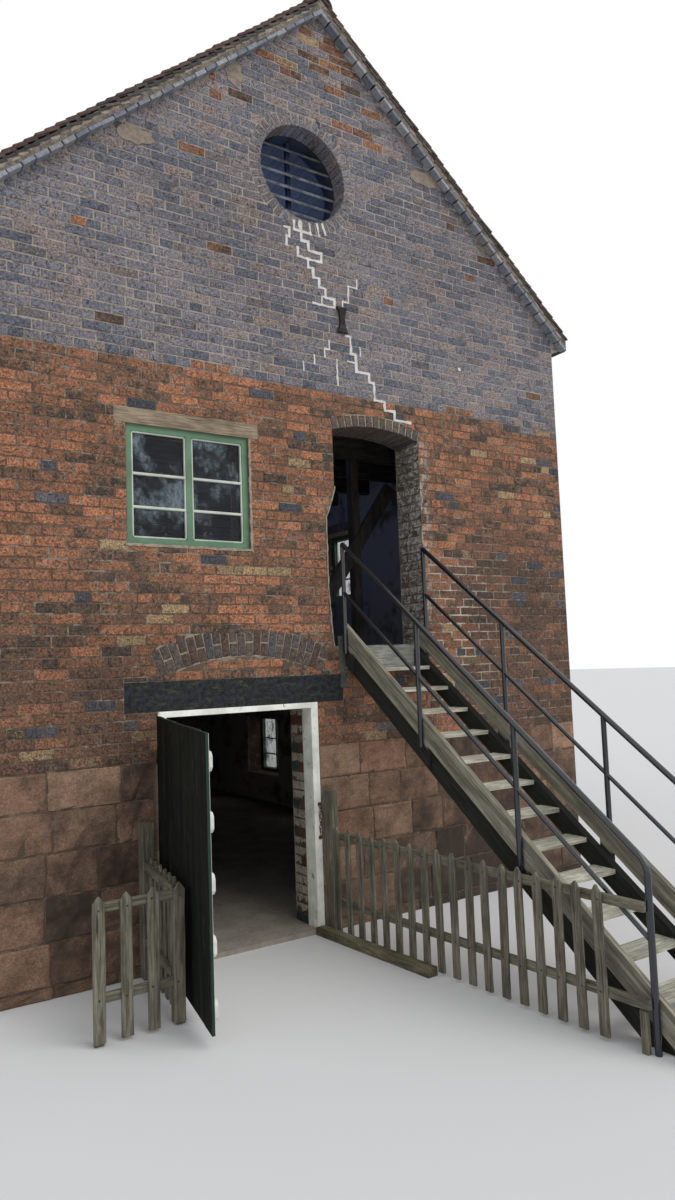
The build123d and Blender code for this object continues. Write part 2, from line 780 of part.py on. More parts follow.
def stair_treads():
    x0 = STAIR_LEFT + KICK_T + STRING_T
    x1 = STAIR_RIGHT - KICK_T - STRING_T
    treads = []
    for index in range(TREAD_COUNT):
        out = NOSE_OUT + index * TREAD_GOING
        top = nosing_z(out)
        nose = FRONT - out
        treads.append(block(x0, x1, nose, nose + TREAD_DEPTH, top - TREAD_T, top))
    return treads


def tube(start, end, radius):
    """Round bar between two points."""
    line = Line(start, end)
    return sweep(Plane(origin=start, z_dir=line % 0) * Circle(radius), path=line)


def top_rail(x):
    """Handrail tube along the flight, bent down into its last post."""
    outs = rail_post_outs()
    first, last = outs[0], outs[-1]
    start = (x, FRONT - first, nosing_z(first) + RAIL_HIGH)
    corner = (x, FRONT - last, nosing_z(last) + RAIL_HIGH)
    foot = (x, FRONT - last, 0)
    path = FilletPolyline(start, corner, foot, radius=RAIL_BEND_R)
    return sweep(Plane(origin=start, z_dir=path % 0) * Circle(RAIL_R), path=path)


def rail_posts(x, rail):
    """Upper posts of one side, each cut to the tube that it carries."""
    posts = []
    for out in rail_post_outs()[:-1]:
        z = nosing_z(out)
        post = tube((x, FRONT - out, z), (x, FRONT - out, z + RAIL_HIGH), RAIL_POST_R)
        posts.append(post - rail)
    return posts


def mid_rail(x, rail, posts):
    """Lower tube of one side, in lengths between the posts."""
    outs = rail_post_outs()
    start = (x, FRONT - outs[0], nosing_z(outs[0]) + RAIL_MID)
    end = (x, FRONT - outs[-1], nosing_z(outs[-1]) + RAIL_MID)
    bar = tube(start, end, MID_RAIL_R) - rail
    for post in posts:
        bar -= post
    return bar


def rail_sides():
    """Plan places of the two handrails, just outside the kick boards."""
    return (STAIR_LEFT - RAIL_R, STAIR_RIGHT + RAIL_R)


def handrails():
    rails, posts, bars = [], [], []
    for x in rail_sides():
        rail = top_rail(x)
        uprights = rail_posts(x, rail)
        rails.append(rail)
        posts.extend(uprights)
        bars.append(mid_rail(x, rail, uprights))
    return rails, posts, bars


def picket_face(x, width):
    """Pointed picket about a centre line, standing just clear of the ground."""
    half = width / 2
    shoulder = PICKET_H - PICKET_POINT
    return polygon(
        (x - half, PICKET_FOOT),
        (x + half, PICKET_FOOT),
        (x + half, shoulder),
        (x, PICKET_H),
        (x - half, shoulder),
    )


def along_plan(start, end, shape):
    """Shape drawn along +X from the origin, laid between two plan points."""
    angle = degrees(atan2(start[1] - end[1], end[0] - start[0]))
    return Pos(start[0], FRONT - start[1], 0) * Rot(0, 0, angle) * shape


def plan_length(start, end):
    return hypot(end[0] - start[0], end[1] - start[1])


def fence_run(start, end, first, pitch, count, width=PICKET_W):
    """Pickets on two rails between plan points, the first at a distance from the start."""
    length = plan_length(start, end)
    panel = None
    for z in (LOWER_RAIL_Z, UPPER_RAIL_Z):
        rail = block(0, length, 0, RAIL_T, z - RAIL_W / 2, z + RAIL_W / 2)
        panel = rail if panel is None else panel + rail
    for index in range(count):
        panel += upright(picket_face(first + index * pitch, width), -PICKET_T, PICKET_T)
    return along_plan(start, end, panel)


def fence_post(place, height, width=POST_W, depth=POST_W):
    x, out = place
    y = FRONT - out
    return block(x - width / 2, x + width / 2, y - depth / 2, y + depth / 2, 0, height)


def fences():
    """Fence panels, and the posts that their rails run into."""
    right = fence_run(
        RIGHT_FENCE_START, RIGHT_FENCE_END, RIGHT_PICKET_FIRST, RIGHT_PICKET_PITCH, RIGHT_PICKETS
    )
    front = fence_run(
        LEFT_FENCE_END, LEFT_FENCE_TURN, LEFT_PICKET_FIRST, LEFT_PICKET_PITCH, LEFT_PICKETS, LEFT_PICKET_W
    )
    back = fence_run(
        CORNER_POST, LEFT_WALL_POST, RETURN_PICKET_FIRST, RETURN_PICKET_PITCH, RETURN_PICKETS
    )
    tall = fence_post(RIGHT_FENCE_START, TALL_POST_H, FRAME_W, 2 * RIGHT_FENCE_START[1])
    wall = fence_post(LEFT_WALL_POST, LEFT_POST_H)
    end = fence_post(LEFT_FENCE_END, PICKET_H - PICKET_POINT, LEFT_PICKET_W, LEFT_END_POST_D)
    corner = fence_post(CORNER_POST, PICKET_H - PICKET_POINT, CORNER_POST_W)
    stub_place = (RIGHT_FENCE_END[0] + RAIL_T / 2, RIGHT_FENCE_END[1] - STUB_POST_W)
    stub = fence_post(stub_place, STUB_POST_H, RAIL_T, STUB_POST_W)
    rail = top_rail(rail_sides()[0])
    right = right - tall - rail
    front = front - end - corner
    back = back - wall - corner
    return right, front, back, [tall, wall, end, corner, stub]


def gravel_board():
    length = plan_length(GRAVEL_START, GRAVEL_END)
    board = block(0, length, -GRAVEL_W / 2, GRAVEL_W / 2, 0, GRAVEL_H)
    return along_plan(GRAVEL_START, GRAVEL_END, board)


def ground_floor():
    """Slab inside the walls, carried through the ground doorway as its threshold."""
    inner_x = HALF - WALL
    inner_y = DEPTH / 2 - WALL
    slab = block(-inner_x, inner_x, -inner_y, inner_y, 0, SLAB_TOP)
    return slab + block(DOOR_LEFT + FRAME_W, DOOR_RIGHT - FRAME_W, FRONT, FRONT + WALL, 0, SLAB_TOP)


def build_parts():
    base_left, base_right = front_bases()
    posts, head = door_frame()
    frame = window_frame()
    panes = window_glass()
    places = window_locations()
    right_fence, left_front, left_return, fence_posts = fences()
    top_rails, posts_of_rail, mid_rails = handrails()
    parts = {
        "front_base": [base_left, base_right],
        "side_bases": side_walls(0, BASE_TOP),
        "back_base": back_part(rectangle(-HALF, HALF, 0, BASE_TOP)),
        "left_wall": side_walls(BASE_TOP, EAVE_Z)[0],
        "right_wall": side_walls(BASE_TOP, EAVE_Z)[1],
        "back_wall": back_part(gable_face(BASE_TOP)) - vent_hole(BACK - WALL),
        "ground_floor": ground_floor(),
        "timber_floors": [floor_boards(UPPER_FLOOR_Z), floor_boards(LOFT_FLOOR_Z)],
        "floor_joists": floor_joists(UPPER_FLOOR_Z) + floor_joists(LOFT_FLOOR_Z),
        "inner_post": inner_post(),
        "roof_slope_left": roof_slope(-1),
        "roof_slope_right": roof_slope(1),
        "ridge_tiles": ridge(),
        "roof_verges": verges(),
        "eaves_kneelers": kneelers(),
        "eaves_gutters": [gutter(-1), gutter(1)],
        "vent_rings": [vent_ring(FRONT), vent_ring(BACK - WALL)],
        "vent_louvres": [vent_louvres(FRONT, 1), vent_louvres(BACK, -1)],
        "wall_tie": wall_tie(),
        "brick_arches": [upright(face, FRONT, WALL) for face in (ground_arch_face(), upper_arch_face())],
        "door_lintel": lintel_solid(),
        "door_frame_posts": posts,
        "door_frame_head": head,
        "upper_door_sill": block(UPPER_LEFT, UPPER_RIGHT, FRONT, FRONT + WALL, SILL_BOTTOM, UPPER_FLOOR_Z),
        "upper_door_leaf": half_leaf(),
        "window_frames": [place * frame for place in places],
        "window_glass": [place * pane for place in places for pane in panes],
        "window_lintels": window_lintels(),
        "door_boards": door_boards(),
        "door_ledges": door_ledges(),
        "door_straps": door_straps(),
        "door_pintles": door_pintles(),
        "stair_strings": stair_strings(),
        "stair_treads": stair_treads(),
        "stair_handrails": top_rails,
        "stair_mid_rails": mid_rails,
        "stair_rail_posts": posts_of_rail,
        "right_fence": right_fence,
        "left_fence": [left_front, left_return],
        "fence_posts": fence_posts,
        "gravel_board": gravel_board(),
    }
    parts.update(front_walls())
    return parts


def solids_of(shape):
    """Every solid of one shape or of a list of shapes."""
    pieces = shape if isinstance(shape, list) else [shape]
    found = []
    for piece in pieces:
        found.extend(piece.solids())
    return found


def main():
    os.makedirs("parts", exist_ok=True)
    for name, shape in build_parts().items():
        solids = solids_of(shape)
        body = solids[0] if len(solids) == 1 else Compound(children=solids)
        export_step(body, f"parts/{name}.step")


if __name__ == "__main__":
    main()
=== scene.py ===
import json
import logging
import math
import random
from dataclasses import dataclass, field, replace
from enum import Enum
from itertools import pairwise
from typing import Any, Callable, Iterable, Mapping, Sequence

import bmesh
import bpy
from mathutils import Euler, Matrix, Vector

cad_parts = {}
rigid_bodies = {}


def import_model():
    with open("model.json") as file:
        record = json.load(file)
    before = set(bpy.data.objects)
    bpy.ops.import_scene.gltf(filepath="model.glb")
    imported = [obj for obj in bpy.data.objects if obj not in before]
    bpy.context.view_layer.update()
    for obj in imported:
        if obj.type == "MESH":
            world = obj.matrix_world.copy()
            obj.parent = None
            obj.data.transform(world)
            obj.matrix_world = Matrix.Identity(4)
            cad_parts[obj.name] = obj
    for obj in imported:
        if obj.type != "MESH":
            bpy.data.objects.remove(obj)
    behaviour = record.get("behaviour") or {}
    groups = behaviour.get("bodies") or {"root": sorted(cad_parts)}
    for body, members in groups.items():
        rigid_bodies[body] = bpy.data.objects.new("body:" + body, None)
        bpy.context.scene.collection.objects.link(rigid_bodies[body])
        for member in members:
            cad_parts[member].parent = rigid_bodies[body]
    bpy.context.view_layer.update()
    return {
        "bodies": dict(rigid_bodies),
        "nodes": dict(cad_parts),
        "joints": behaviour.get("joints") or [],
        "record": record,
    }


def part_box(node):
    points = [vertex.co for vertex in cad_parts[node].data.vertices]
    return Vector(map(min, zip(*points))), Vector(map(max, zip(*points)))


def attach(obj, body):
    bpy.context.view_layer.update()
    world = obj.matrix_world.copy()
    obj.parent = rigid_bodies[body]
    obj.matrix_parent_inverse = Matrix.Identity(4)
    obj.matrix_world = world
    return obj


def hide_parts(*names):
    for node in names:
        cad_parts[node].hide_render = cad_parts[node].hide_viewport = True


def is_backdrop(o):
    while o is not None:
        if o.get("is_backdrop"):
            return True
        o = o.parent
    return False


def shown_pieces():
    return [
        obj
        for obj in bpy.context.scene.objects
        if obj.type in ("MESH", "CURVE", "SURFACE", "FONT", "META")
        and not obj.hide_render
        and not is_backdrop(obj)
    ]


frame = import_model()

LOG = logging.getLogger("mill")
Pair = tuple[float, float]
Triple = tuple[float, float, float]
Colour = Triple
Rect = tuple[float, float, float, float]
Stops = tuple[tuple[float, Colour], ...]
Path = Sequence[Pair]
Socket = bpy.types.NodeSocket
Shape = bmesh.types.BMesh
BODY = "mill"
DOOR_BODY = "ground_door"


# Node wiring


class Weave:
    """Adds nodes to one node tree, for a material or for geometry, and wires their sockets."""

    def __init__(self, tree: bpy.types.NodeTree) -> None:
        """Starts on a tree."""
        self.tree = tree

    def feed(self, socket: Socket, value: Any) -> None:
        """Gives a socket a link or a constant.

        Args:
            socket: the input socket.
            value: a Value, another socket, or a plain constant.
        """
        if isinstance(value, Value):
            value = value.socket
        if isinstance(value, Socket):
            self.tree.links.new(value, socket)
        elif isinstance(value, tuple) and socket.type == "RGBA":
            socket.default_value = (*value, 1.0)
        else:
            socket.default_value = value

    def add(self, kind: str, inputs: Mapping[Any, Any] | None = None,
            **settings: Any) -> bpy.types.Node:
        """Adds one node.

        Args:
            kind: the node's type name.
            inputs: what goes into each input, by name or number.
            settings: the node's own settings, which are set first.

        Returns:
            The new node.
        """
        node = self.tree.nodes.new(kind)
        for name, setting in settings.items():
            setattr(node, name, setting)
        for key, value in (inputs or {}).items():
            self.feed(node.inputs[key], value)
        return node


class Value:
    """One number that changes over a surface. Its operators add Math nodes."""

    def __init__(self, weave: Weave, socket: Socket) -> None:
        """Wraps the output socket that carries the number."""
        self.weave, self.socket = weave, socket

    def _join(self, operation: str, *terms: Any) -> "Value":
        """One Math node over the terms."""
        node = self.weave.add("ShaderNodeMath", dict(enumerate(terms)), operation=operation)
        return Value(self.weave, node.outputs[0])

    def __add__(self, other: Any) -> "Value":
        """Sum."""
        return self._join("ADD", self, other)

    def __sub__(self, other: Any) -> "Value":
        """Difference."""
        return self._join("SUBTRACT", self, other)

    def __rsub__(self, other: Any) -> "Value":
        """Difference, reflected."""
        return self._join("SUBTRACT", other, self)

    def __mul__(self, other: Any) -> "Value":
        """Product."""
        return self._join("MULTIPLY", self, other)

    __radd__ = __add__
    __rmul__ = __mul__

    def most(self, other: Any) -> "Value":
        """The larger of two values."""
        return self._join("MAXIMUM", self, other)

    def size(self) -> "Value":
        """The value without its sign."""
        return self._join("ABSOLUTE", self)

    def step(self, low: float, high: float) -> "Value":
        """Smooth step between two values, either of which may be the larger.

        Args:
            low: the value that gives 0.
            high: the value that gives 1.

        Returns:
            The stepped value.
        """
        ends = {0: self, 1: min(low, high), 2: max(low, high)}
        node = self.weave.add("ShaderNodeMapRange", ends, interpolation_type="SMOOTHSTEP")
        rising = Value(self.weave, node.outputs[0])
        return rising if low < high else 1.0 - rising


class Recipe(Weave):
    """Builds one procedural material around a Principled shader, one colour layer on the next."""

    def __init__(self, name: str) -> None:
        """Starts a material.

        Args:
            name: the material's name.
        """
        self.material = bpy.data.materials.new(name)
        self.material.use_nodes = True
        super().__init__(self.material.node_tree)
        self.tree.nodes.clear()
        output = self.add("ShaderNodeOutputMaterial")
        self.shader = self.add("ShaderNodeBsdfPrincipled")
        self.feed(output.inputs[0], self.shader.outputs[0])
        self._place = self.add("ShaderNodeTexCoord").outputs["Object"]
        split = self.add("ShaderNodeSeparateXYZ", {0: self._place})
        self.x, self.y, self.z = (Value(self, socket) for socket in split.outputs)
        self.colour: Any = None

    def attribute(self, name: str) -> Value:
        """A number that the mesh carries."""
        return Value(self, self.add("ShaderNodeAttribute", attribute_name=name).outputs["Fac"])

    def _cloud(self, spot: bpy.types.Node, scale: float, detail: float, rough: float) -> Value:
        """Noise at a place."""
        inputs = {"Vector": spot.outputs[0], "Scale": scale, "Detail": detail, "Roughness": rough}
        return Value(self, self.add("ShaderNodeTexNoise", inputs).outputs[0])

    def noise(self, scale: float, detail: float = 4.0, rough: float = 0.65,
              stretch: Triple = (1.0, 1.0, 1.0), shift: float = 0.0) -> Value:
        """Soft noise between 0 and 1.

        Args:
            scale: cells per metre.
            detail: octaves.
            rough: how strong the finer octaves are.
            stretch: the factor along each axis.
            shift: an offset that moves the pattern.

        Returns:
            The noise value.
        """
        spot = self.add("ShaderNodeVectorMath", {0: self._place, 1: stretch, 2: (shift,) * 3},
                        operation="MULTIPLY_ADD")
        return self._cloud(spot, scale, detail, rough)

    def fibres(self, across: Value, along: Value, scale: float) -> Value:
        """Noise drawn out along a slanting line, as the grain of a raking board is."""
        spot = self.add("ShaderNodeCombineXYZ", {0: across, 1: along * 0.05, 2: self.x})
        return self._cloud(spot, scale, 4.0, 0.65)

    def ramp(self, value: Value, stops: Stops) -> Socket:
        """Colour picked by a value.

        Args:
            value: the number that picks.
            stops: places and colours.

        Returns:
            The colour socket.
        """
        node = self.add("ShaderNodeValToRGB", {0: value})
        marks = node.color_ramp.elements
        while len(marks) < len(stops):
            marks.new(1.0)
        for mark, (place, colour) in zip(marks, stops):
            mark.position, mark.color = place, (*colour, 1.0)
        return node.outputs[0]

    def blend(self, under: Any, over: Any, amount: Any, mode: str = "MIX") -> Socket:
        """One colour laid over another."""
        return self.add("ShaderNodeMix", {0: amount, 6: under, 7: over}, data_type="RGBA",
                        blend_type=mode, clamp_factor=True).outputs[2]

    def tinted(self, colour: Any, value: Value, low: float, high: float) -> Socket:
        """A colour with its brightness at low where the value is 0 and at high where it is 1."""
        grey = self.ramp(value, ((0.0, (low,) * 3), (1.0, (high,) * 3)))
        return self.blend(colour, grey, 1.0, "MULTIPLY")

    def cover(self, over: Any, amount: Any) -> None:
        """Lays a colour over what is there."""
        self.colour = self.blend(self.colour, over, amount)

    def shade(self, value: Value, low: float, high: float) -> None:
        """Darkens or lightens what is there by a value."""
        self.colour = self.tinted(self.colour, value, low, high)

    def done(self, rough: Any, height: Value | None = None, depth: float = 0.004,
             strength: float = 0.8, gloss: float = 0.2) -> None:
        """Wires the colour, roughness and relief into the shader.

        Args:
            rough: roughness, constant or value.
            height: the height value of the relief, if any.
            depth: the depth of the relief in metres.
            strength: how strongly it shows.
            gloss: the specular level.
        """
        inputs = {"Base Color": self.colour, "Roughness": rough, "Specular IOR Level": gloss}
        if height is not None:
            bump = {"Height": height, "Distance": depth, "Strength": strength}
            inputs["Normal"] = self.add("ShaderNodeBump", bump).outputs[0]
        for name, value in inputs.items():
            self.feed(self.shader.inputs[name], value)


# Finishes


class Grain(Enum):
    """The way that timber grain runs, as the stretch of its pattern along X, Y and Z."""

    ALONG_X = (0.06, 1.0, 1.0)
    ALONG_Y = (1.0, 0.06, 1.0)
    ALONG_Z = (1.0, 1.0, 0.06)


@dataclass(frozen=True)
class Finish:
    """What a surface looks like. The name is its material's."""

    name: str

    def make(self) -> bpy.types.Material:
        """Builds the material.

        Returns:
            The material.
        """
        mix = Recipe(self.name)
        self.paint(mix)
        return mix.material

    def paint(self, mix: Recipe) -> None:
        """Lays the layers of the material into a recipe."""


@dataclass(frozen=True)
class BrickFinish(Finish):
    """Weathered brick whose colour is picked for each brick by its tone and soot attributes."""

    warm: Stops
    cool: Stops
    lime: float = 0.34
    lime_colour: Colour = (0.42, 0.38, 0.34)
    lime_scale: float = 15.0
    lime_range: Pair = (0.58, 0.72)
    sooty: Colour = (0.088, 0.064, 0.052)
    pale: Colour = (0.42, 0.31, 0.17)
    burn: float = 1.0
    smear: Rect | None = None

    def paint(self, mix: Recipe) -> None:
        """Lays burnt patches, soot, mottling, chips, grime and lime, and a smear if there is one.

        Args:
            mix: the recipe.
        """
        burnt = mix.noise(17.0, 5.0, 0.7, shift=31.0).step(0.36, 0.64)
        tone, soot = mix.attribute("tone"), mix.attribute("soot")
        baked = tone * (1.0 - 0.2 * self.burn) + (burnt * 0.4 - 0.18) * self.burn
        mix.colour = mix.ramp(baked, self.warm)
        mix.cover(self.pale, tone.step(0.98, 0.984) * 0.8 * self.burn)
        mix.cover(self.sooty, soot.step(0.0, 0.6) * 0.8)
        mix.cover(mix.ramp(tone * 0.92 + burnt * 0.08, self.cool), soot.step(0.6, 0.75))
        mix.cover((0.052, 0.053, 0.06), soot.step(1.0, 1.15) * 0.8)
        mottle = mix.noise(72.0, 6.0, 0.75)
        mix.shade(mottle.step(0.28, 0.72), 0.36, 1.7)
        blotch = mix.noise(110.0, 4.0, 0.7, shift=3.0).step(0.56, 0.63)
        mix.cover((0.045, 0.033, 0.028), blotch * 0.7)
        chips = mix.noise(30.0, 6.0, 0.75, shift=21.0).step(0.58, 0.63)
        mix.cover(self.sooty, chips * 0.75)
        grime = mix.noise(0.9, 4.0, 0.6, shift=9.0)
        mix.shade(grime.step(0.3, 0.75), 1.1, 0.8)
        bloom = mix.noise(self.lime_scale, 5.0, 0.75, shift=5.0).step(*self.lime_range)
        mix.cover(self.lime_colour, bloom * self.lime)
        if self.smear is not None:
            left, right, low, high = self.smear
            inside = mix.x.step(right, left) * mix.x.step(left - 0.02, left)
            inside = inside * mix.z.step(low, low + 0.2) * mix.z.step(high, high - 0.2)
            drips = mix.noise(16.0, 5.0, 0.75, (1.0, 1.0, 0.5), 13.0).step(0.46, 0.6)
            mix.cover((0.5, 0.47, 0.42), inside * drips * 0.9)
        pits = mix.noise(160.0, 3.0, 0.6, shift=1.0)
        relief = mottle * 0.6 + pits * 0.4 - blotch * 0.35 - chips * 0.6
        mix.done(0.84 + 0.14 * pits, relief, 0.009, 1.0)


@dataclass(frozen=True)
class StoneFinish(Finish):
    """Rough sandstone, with a tone for each block."""

    stops: Stops

    def paint(self, mix: Recipe) -> None:
        """Lays bedding, black crust, damp and lime.

        Args:
            mix: the recipe.
        """
        mix.colour = mix.ramp(mix.attribute("tone"), self.stops)
        body, pits = mix.noise(7.0, 5.0, 0.6), mix.noise(90.0)
        bedding = mix.noise(6.0, 4.0, 0.6, (0.5, 0.5, 4.0), 4.0)
        mix.shade(body.step(0.25, 0.75), 0.66, 1.28)
        mix.shade(pits.step(0.25, 0.75), 0.58, 1.34)
        mix.cover((0.085, 0.062, 0.048), bedding.step(0.55, 0.72) * 0.55)
        crust = mix.noise(5.0, 5.0, 0.65, shift=6.0) * 0.6 + mix.attribute("soot") * 0.7
        mix.cover((0.042, 0.033, 0.028), crust.step(0.42, 0.85) * 0.95)
        damp = mix.z.step(0.7, 0.0) * mix.noise(2.2, 4.0, 0.6, shift=2.0)
        mix.cover((0.045, 0.042, 0.034), damp * 0.6)
        lime = mix.noise(13.0, 5.0, 0.7, shift=8.0).step(0.66, 0.8)
        mix.cover((0.35, 0.29, 0.23), lime * 0.3)
        mix.done(0.93, body * 0.6 + pits * 0.3, 0.01)


@dataclass(frozen=True)
class MortarFinish(Finish):
    """Lime mortar outside, and flaking limewash on the inner faces of the walls."""

    low: Colour
    high: Colour
    soil_and_shade: Colour = (0.085, 0.062, 0.048)
    pale: Colour = (0.5, 0.45, 0.37)
    pale_side: Colour = (0.95, 2.2, 3.4)
    flecked: float = 0.5
    inner_x: float = 2.52
    inner_y: float = 4.17

    def paint(self, mix: Recipe) -> None:
        """Lays soil and painted shade of the recessed joints, flecks, the pale joints right of the
        upper doorway, and limewash inside.

        Args:
            mix: the recipe.
        """
        grit, patches = mix.noise(60.0), mix.noise(2.3, 4.0, 0.6, shift=6.0)
        # The dark low colour is partly the mortar's own colour and partly painted shade of the
        # recessed joints.
        mix.colour = mix.blend(self.low, self.high, mix.z.step(4.5, 4.62))
        mix.shade(grit.step(0.25, 0.75), 0.72, 1.22)
        mix.shade(patches.step(0.3, 0.7), 0.78, 1.14)
        # Dark patches: partly soiled mortar, partly painted shade in the recessed joints.
        mix.cover(self.soil_and_shade, mix.noise(12.0, 5.0, 0.7, shift=12.0).step(0.48, 0.64) * 0.75)
        flecks = mix.noise(9.0, 6.0, 0.75, shift=17.0).step(0.51, 0.59)
        mix.cover(tuple(0.8 * c for c in self.pale), flecks * self.flecked)
        left, right, top = self.pale_side
        white = mix.x.step(left, left + 0.1) * mix.x.step(right, right - 0.8)
        white = white * mix.z.step(top, top - 0.5)
        white = white * mix.z.step(1.5, 1.8) * mix.y.step(-4.40, -4.42)
        mix.cover(self.pale, white * mix.noise(6.0, 5.0, 0.7, shift=15.0).step(0.42, 0.56))
        inside = mix.x.size().step(self.inner_x, self.inner_x - 0.006)
        inside = inside * mix.y.size().step(self.inner_y, self.inner_y - 0.006)
        wash = mix.blend((0.4, 0.38, 0.33), (0.16, 0.12, 0.09), patches.step(0.5, 0.68))
        mix.cover(mix.tinted(wash, grit.step(0.2, 0.8), 0.8, 1.1), inside)
        mix.done(0.95, grit)


@dataclass(frozen=True)
class RingFinish(Finish):
    """Pale mortar on the face of a vent ring that turns sooty inside the hole."""

    face_y: float

    def paint(self, mix: Recipe) -> None:
        """Lays mortar, and soot behind the face.

        Args:
            mix: the recipe.
        """
        grit = mix.noise(60.0)
        mix.colour = mix.tinted((0.36, 0.31, 0.27), grit.step(0.25, 0.75), 0.6, 1.2)
        behind = mix.y.size().step(self.face_y - 0.03, self.face_y - 0.06)
        mix.cover((0.04, 0.042, 0.05), behind)
        mix.done(0.95, grit)


@dataclass(frozen=True)
class TimberFinish(Finish):
    """Bare timber with grain, cracks and weathering, or the same under flaking paint."""

    grain: Grain
    light: Colour
    dark: Colour
    moss: float = 0.0
    coat: Colour | None = None
    flaking: float = 0.5
    rough: float = 0.55
    gloss: float = 0.35
    streak: float = 0.0
    band: float = 16.0

    def paint(self, mix: Recipe) -> None:
        """Lays bands, fibres, cracks and moss, and the coat if there is one.

        Args:
            mix: the recipe.
        """
        along = self.grain.value
        fibre = mix.noise(90.0, stretch=along)
        bands = mix.noise(self.band, 4.0, 0.6, along, 7.0)
        cracks = mix.noise(55.0, 3.0, 0.55, tuple(0.55 * a for a in along), 2.0)
        split = cracks.step(0.64, 0.72)
        mix.colour = mix.blend(self.dark, self.light, bands.step(0.3, 0.7))
        mix.shade(fibre.step(0.28, 0.72), 0.5, 1.36)
        blotch = mix.noise(4.0, 4.0, 0.6, shift=5.0)
        mix.shade(blotch.step(0.3, 0.7), 0.78, 1.16)
        mix.cover(tuple(0.22 * c for c in self.dark), split * 0.8)
        if self.moss > 0.0:
            green = mix.noise(12.0, 5.0, 0.7, shift=3.0).step(0.52, 0.72)
            mix.cover((0.09, 0.105, 0.045), green * self.moss)
        height = fibre * 0.5 - split * 0.6 + bands * 0.2
        if self.coat is None:
            mix.done(0.88, height, gloss=0.25)
            return
        film = mix.noise(24.0, 5.0, 0.7, tuple(0.35 + 0.65 * a for a in along), 11.0)
        bare = film.step(1.0 - 0.5 * self.flaking, 1.04 - 0.5 * self.flaking)
        coat = mix.tinted(self.coat, mix.noise(7.0, 4.0, 0.6).step(0.3, 0.7), 0.84, 1.12)
        worn = 0.5 * self.streak
        coat = mix.tinted(coat, fibre.step(0.3, 0.8), 0.94 - worn, 1.05 + worn)
        coat = mix.tinted(coat, bands.step(0.35, 0.65), 1.0 - self.streak, 1.0 + self.streak)
        mix.colour = mix.blend(coat, mix.colour, bare)
        height = height * 0.35 - bare * 0.6
        mix.done(self.rough + 0.35 * bare, height, 0.003, gloss=self.gloss)


@dataclass(frozen=True)
class TileFinish(Finish):
    """Dull clay roof tile, with a tone for each tile."""

    stops: Stops

    def paint(self, mix: Recipe) -> None:
        """Lays spots and lichen.

        Args:
            mix: the recipe.
        """
        mix.colour = mix.ramp(mix.attribute("tone"), self.stops)
        spots = mix.noise(30.0, 5.0, 0.7)
        mix.shade(spots.step(0.25, 0.75), 0.65, 1.25)
        lichen = mix.noise(18.0, 5.0, 0.75, shift=4.0).step(0.6, 0.72)
        mix.cover((0.24, 0.24, 0.19), lichen * 0.5)
        mix.done(0.9, spots, 0.003, 0.7, gloss=0.25)


@dataclass(frozen=True)
class MetalFinish(Finish):
    """Painted or bare metal with dull and rusty patches."""

    coat: Colour
    rust: Colour
    worn: float
    shine: float
    gloss: float = 0.5

    def paint(self, mix: Recipe) -> None:
        """Lays rust on the coat.

        Args:
            mix: the recipe.
        """
        patch, fine = mix.noise(14.0, 5.0, 0.7), mix.noise(120.0, 3.0, 0.6, shift=3.0)
        rust = (patch * 0.75 + fine * 0.25).step(1.0 - self.worn, 1.06 - self.worn)
        mix.colour = mix.tinted(self.coat, fine.step(0.3, 0.7), 0.8, 1.25)
        mix.cover(self.rust, rust)
        rough = self.shine + 0.45 * rust
        mix.done(rough, fine * 0.3 + rust * 0.5, 0.0012, 0.6, self.gloss)


@dataclass(frozen=True)
class PlainFinish(Finish):
    """Mortar, render or cement with soft mottling."""

    light: Colour
    dark: Colour
    scale: float

    def paint(self, mix: Recipe) -> None:
        """Lays the mottling.

        Args:
            mix: the recipe.
        """
        body = mix.noise(self.scale, 5.0)
        grit = mix.noise(self.scale * 9.0, shift=2.0)
        mottled = (body * 0.6 + grit * 0.4).step(0.35, 0.62)
        mix.colour = mix.blend(self.dark, self.light, mottled)
        mix.done(0.93, grit * 0.6 + body * 0.4)


@dataclass(frozen=True)
class GlassFinish(Finish):
    """Old window glass, a little dusty, with a painted reflection of pale sky in places."""

    def paint(self, mix: Recipe) -> None:
        """Lays a painted reflection of sky and dust, and lets the room show through between them.

        Args:
            mix: the recipe.
        """
        dust = mix.noise(9.0)
        # Painted reflection: pale sky colour laid over the glass in patches, where the glass is
        # also less clear.
        painted_sky_reflection = mix.noise(3.4, 7.0, 0.78, (1.0, 1.0, 0.7), 5.0).step(0.48, 0.66)
        mix.colour = mix.blend((0.01, 0.014, 0.019), (0.2, 0.26, 0.3), painted_sky_reflection * 0.8)
        mix.cover((0.14, 0.15, 0.15), dust.step(0.56, 0.82) * 0.3)
        wave = mix.noise(3.0, 2.0, 0.4, (1.0, 1.0, 0.6))
        mix.feed(mix.shader.inputs["Alpha"], 0.34 + 0.5 * painted_sky_reflection)
        mix.done(0.05 + 0.25 * dust.step(0.5, 0.8), wave, 0.006, 0.15, 0.45)


@dataclass(frozen=True)
class TarFinish(Finish):
    """Old black coating on a rough beam, scratched down to mossy wood."""

    coat: Colour
    bare: Colour

    def paint(self, mix: Recipe) -> None:
        """Lays lumps and scratches.

        Args:
            mix: the recipe.
        """
        lumps, grit = mix.noise(24.0, 6.0, 0.75), mix.noise(150.0, 3.0, 0.65, shift=2.0)
        scratch = mix.noise(20.0, 6.0, 0.8, (0.35, 1.0, 1.0), 4.0).step(0.53, 0.6)
        mix.colour = mix.tinted(self.coat, lumps.step(0.35, 0.65), 0.35, 2.3)
        mix.cover(self.bare, scratch * grit.step(0.35, 0.6) * 0.8)
        height = lumps * 0.6 + grit * 0.4 - scratch * 0.2
        mix.done(0.66 + 0.3 * grit, height, 0.012, 1.0, 0.3)


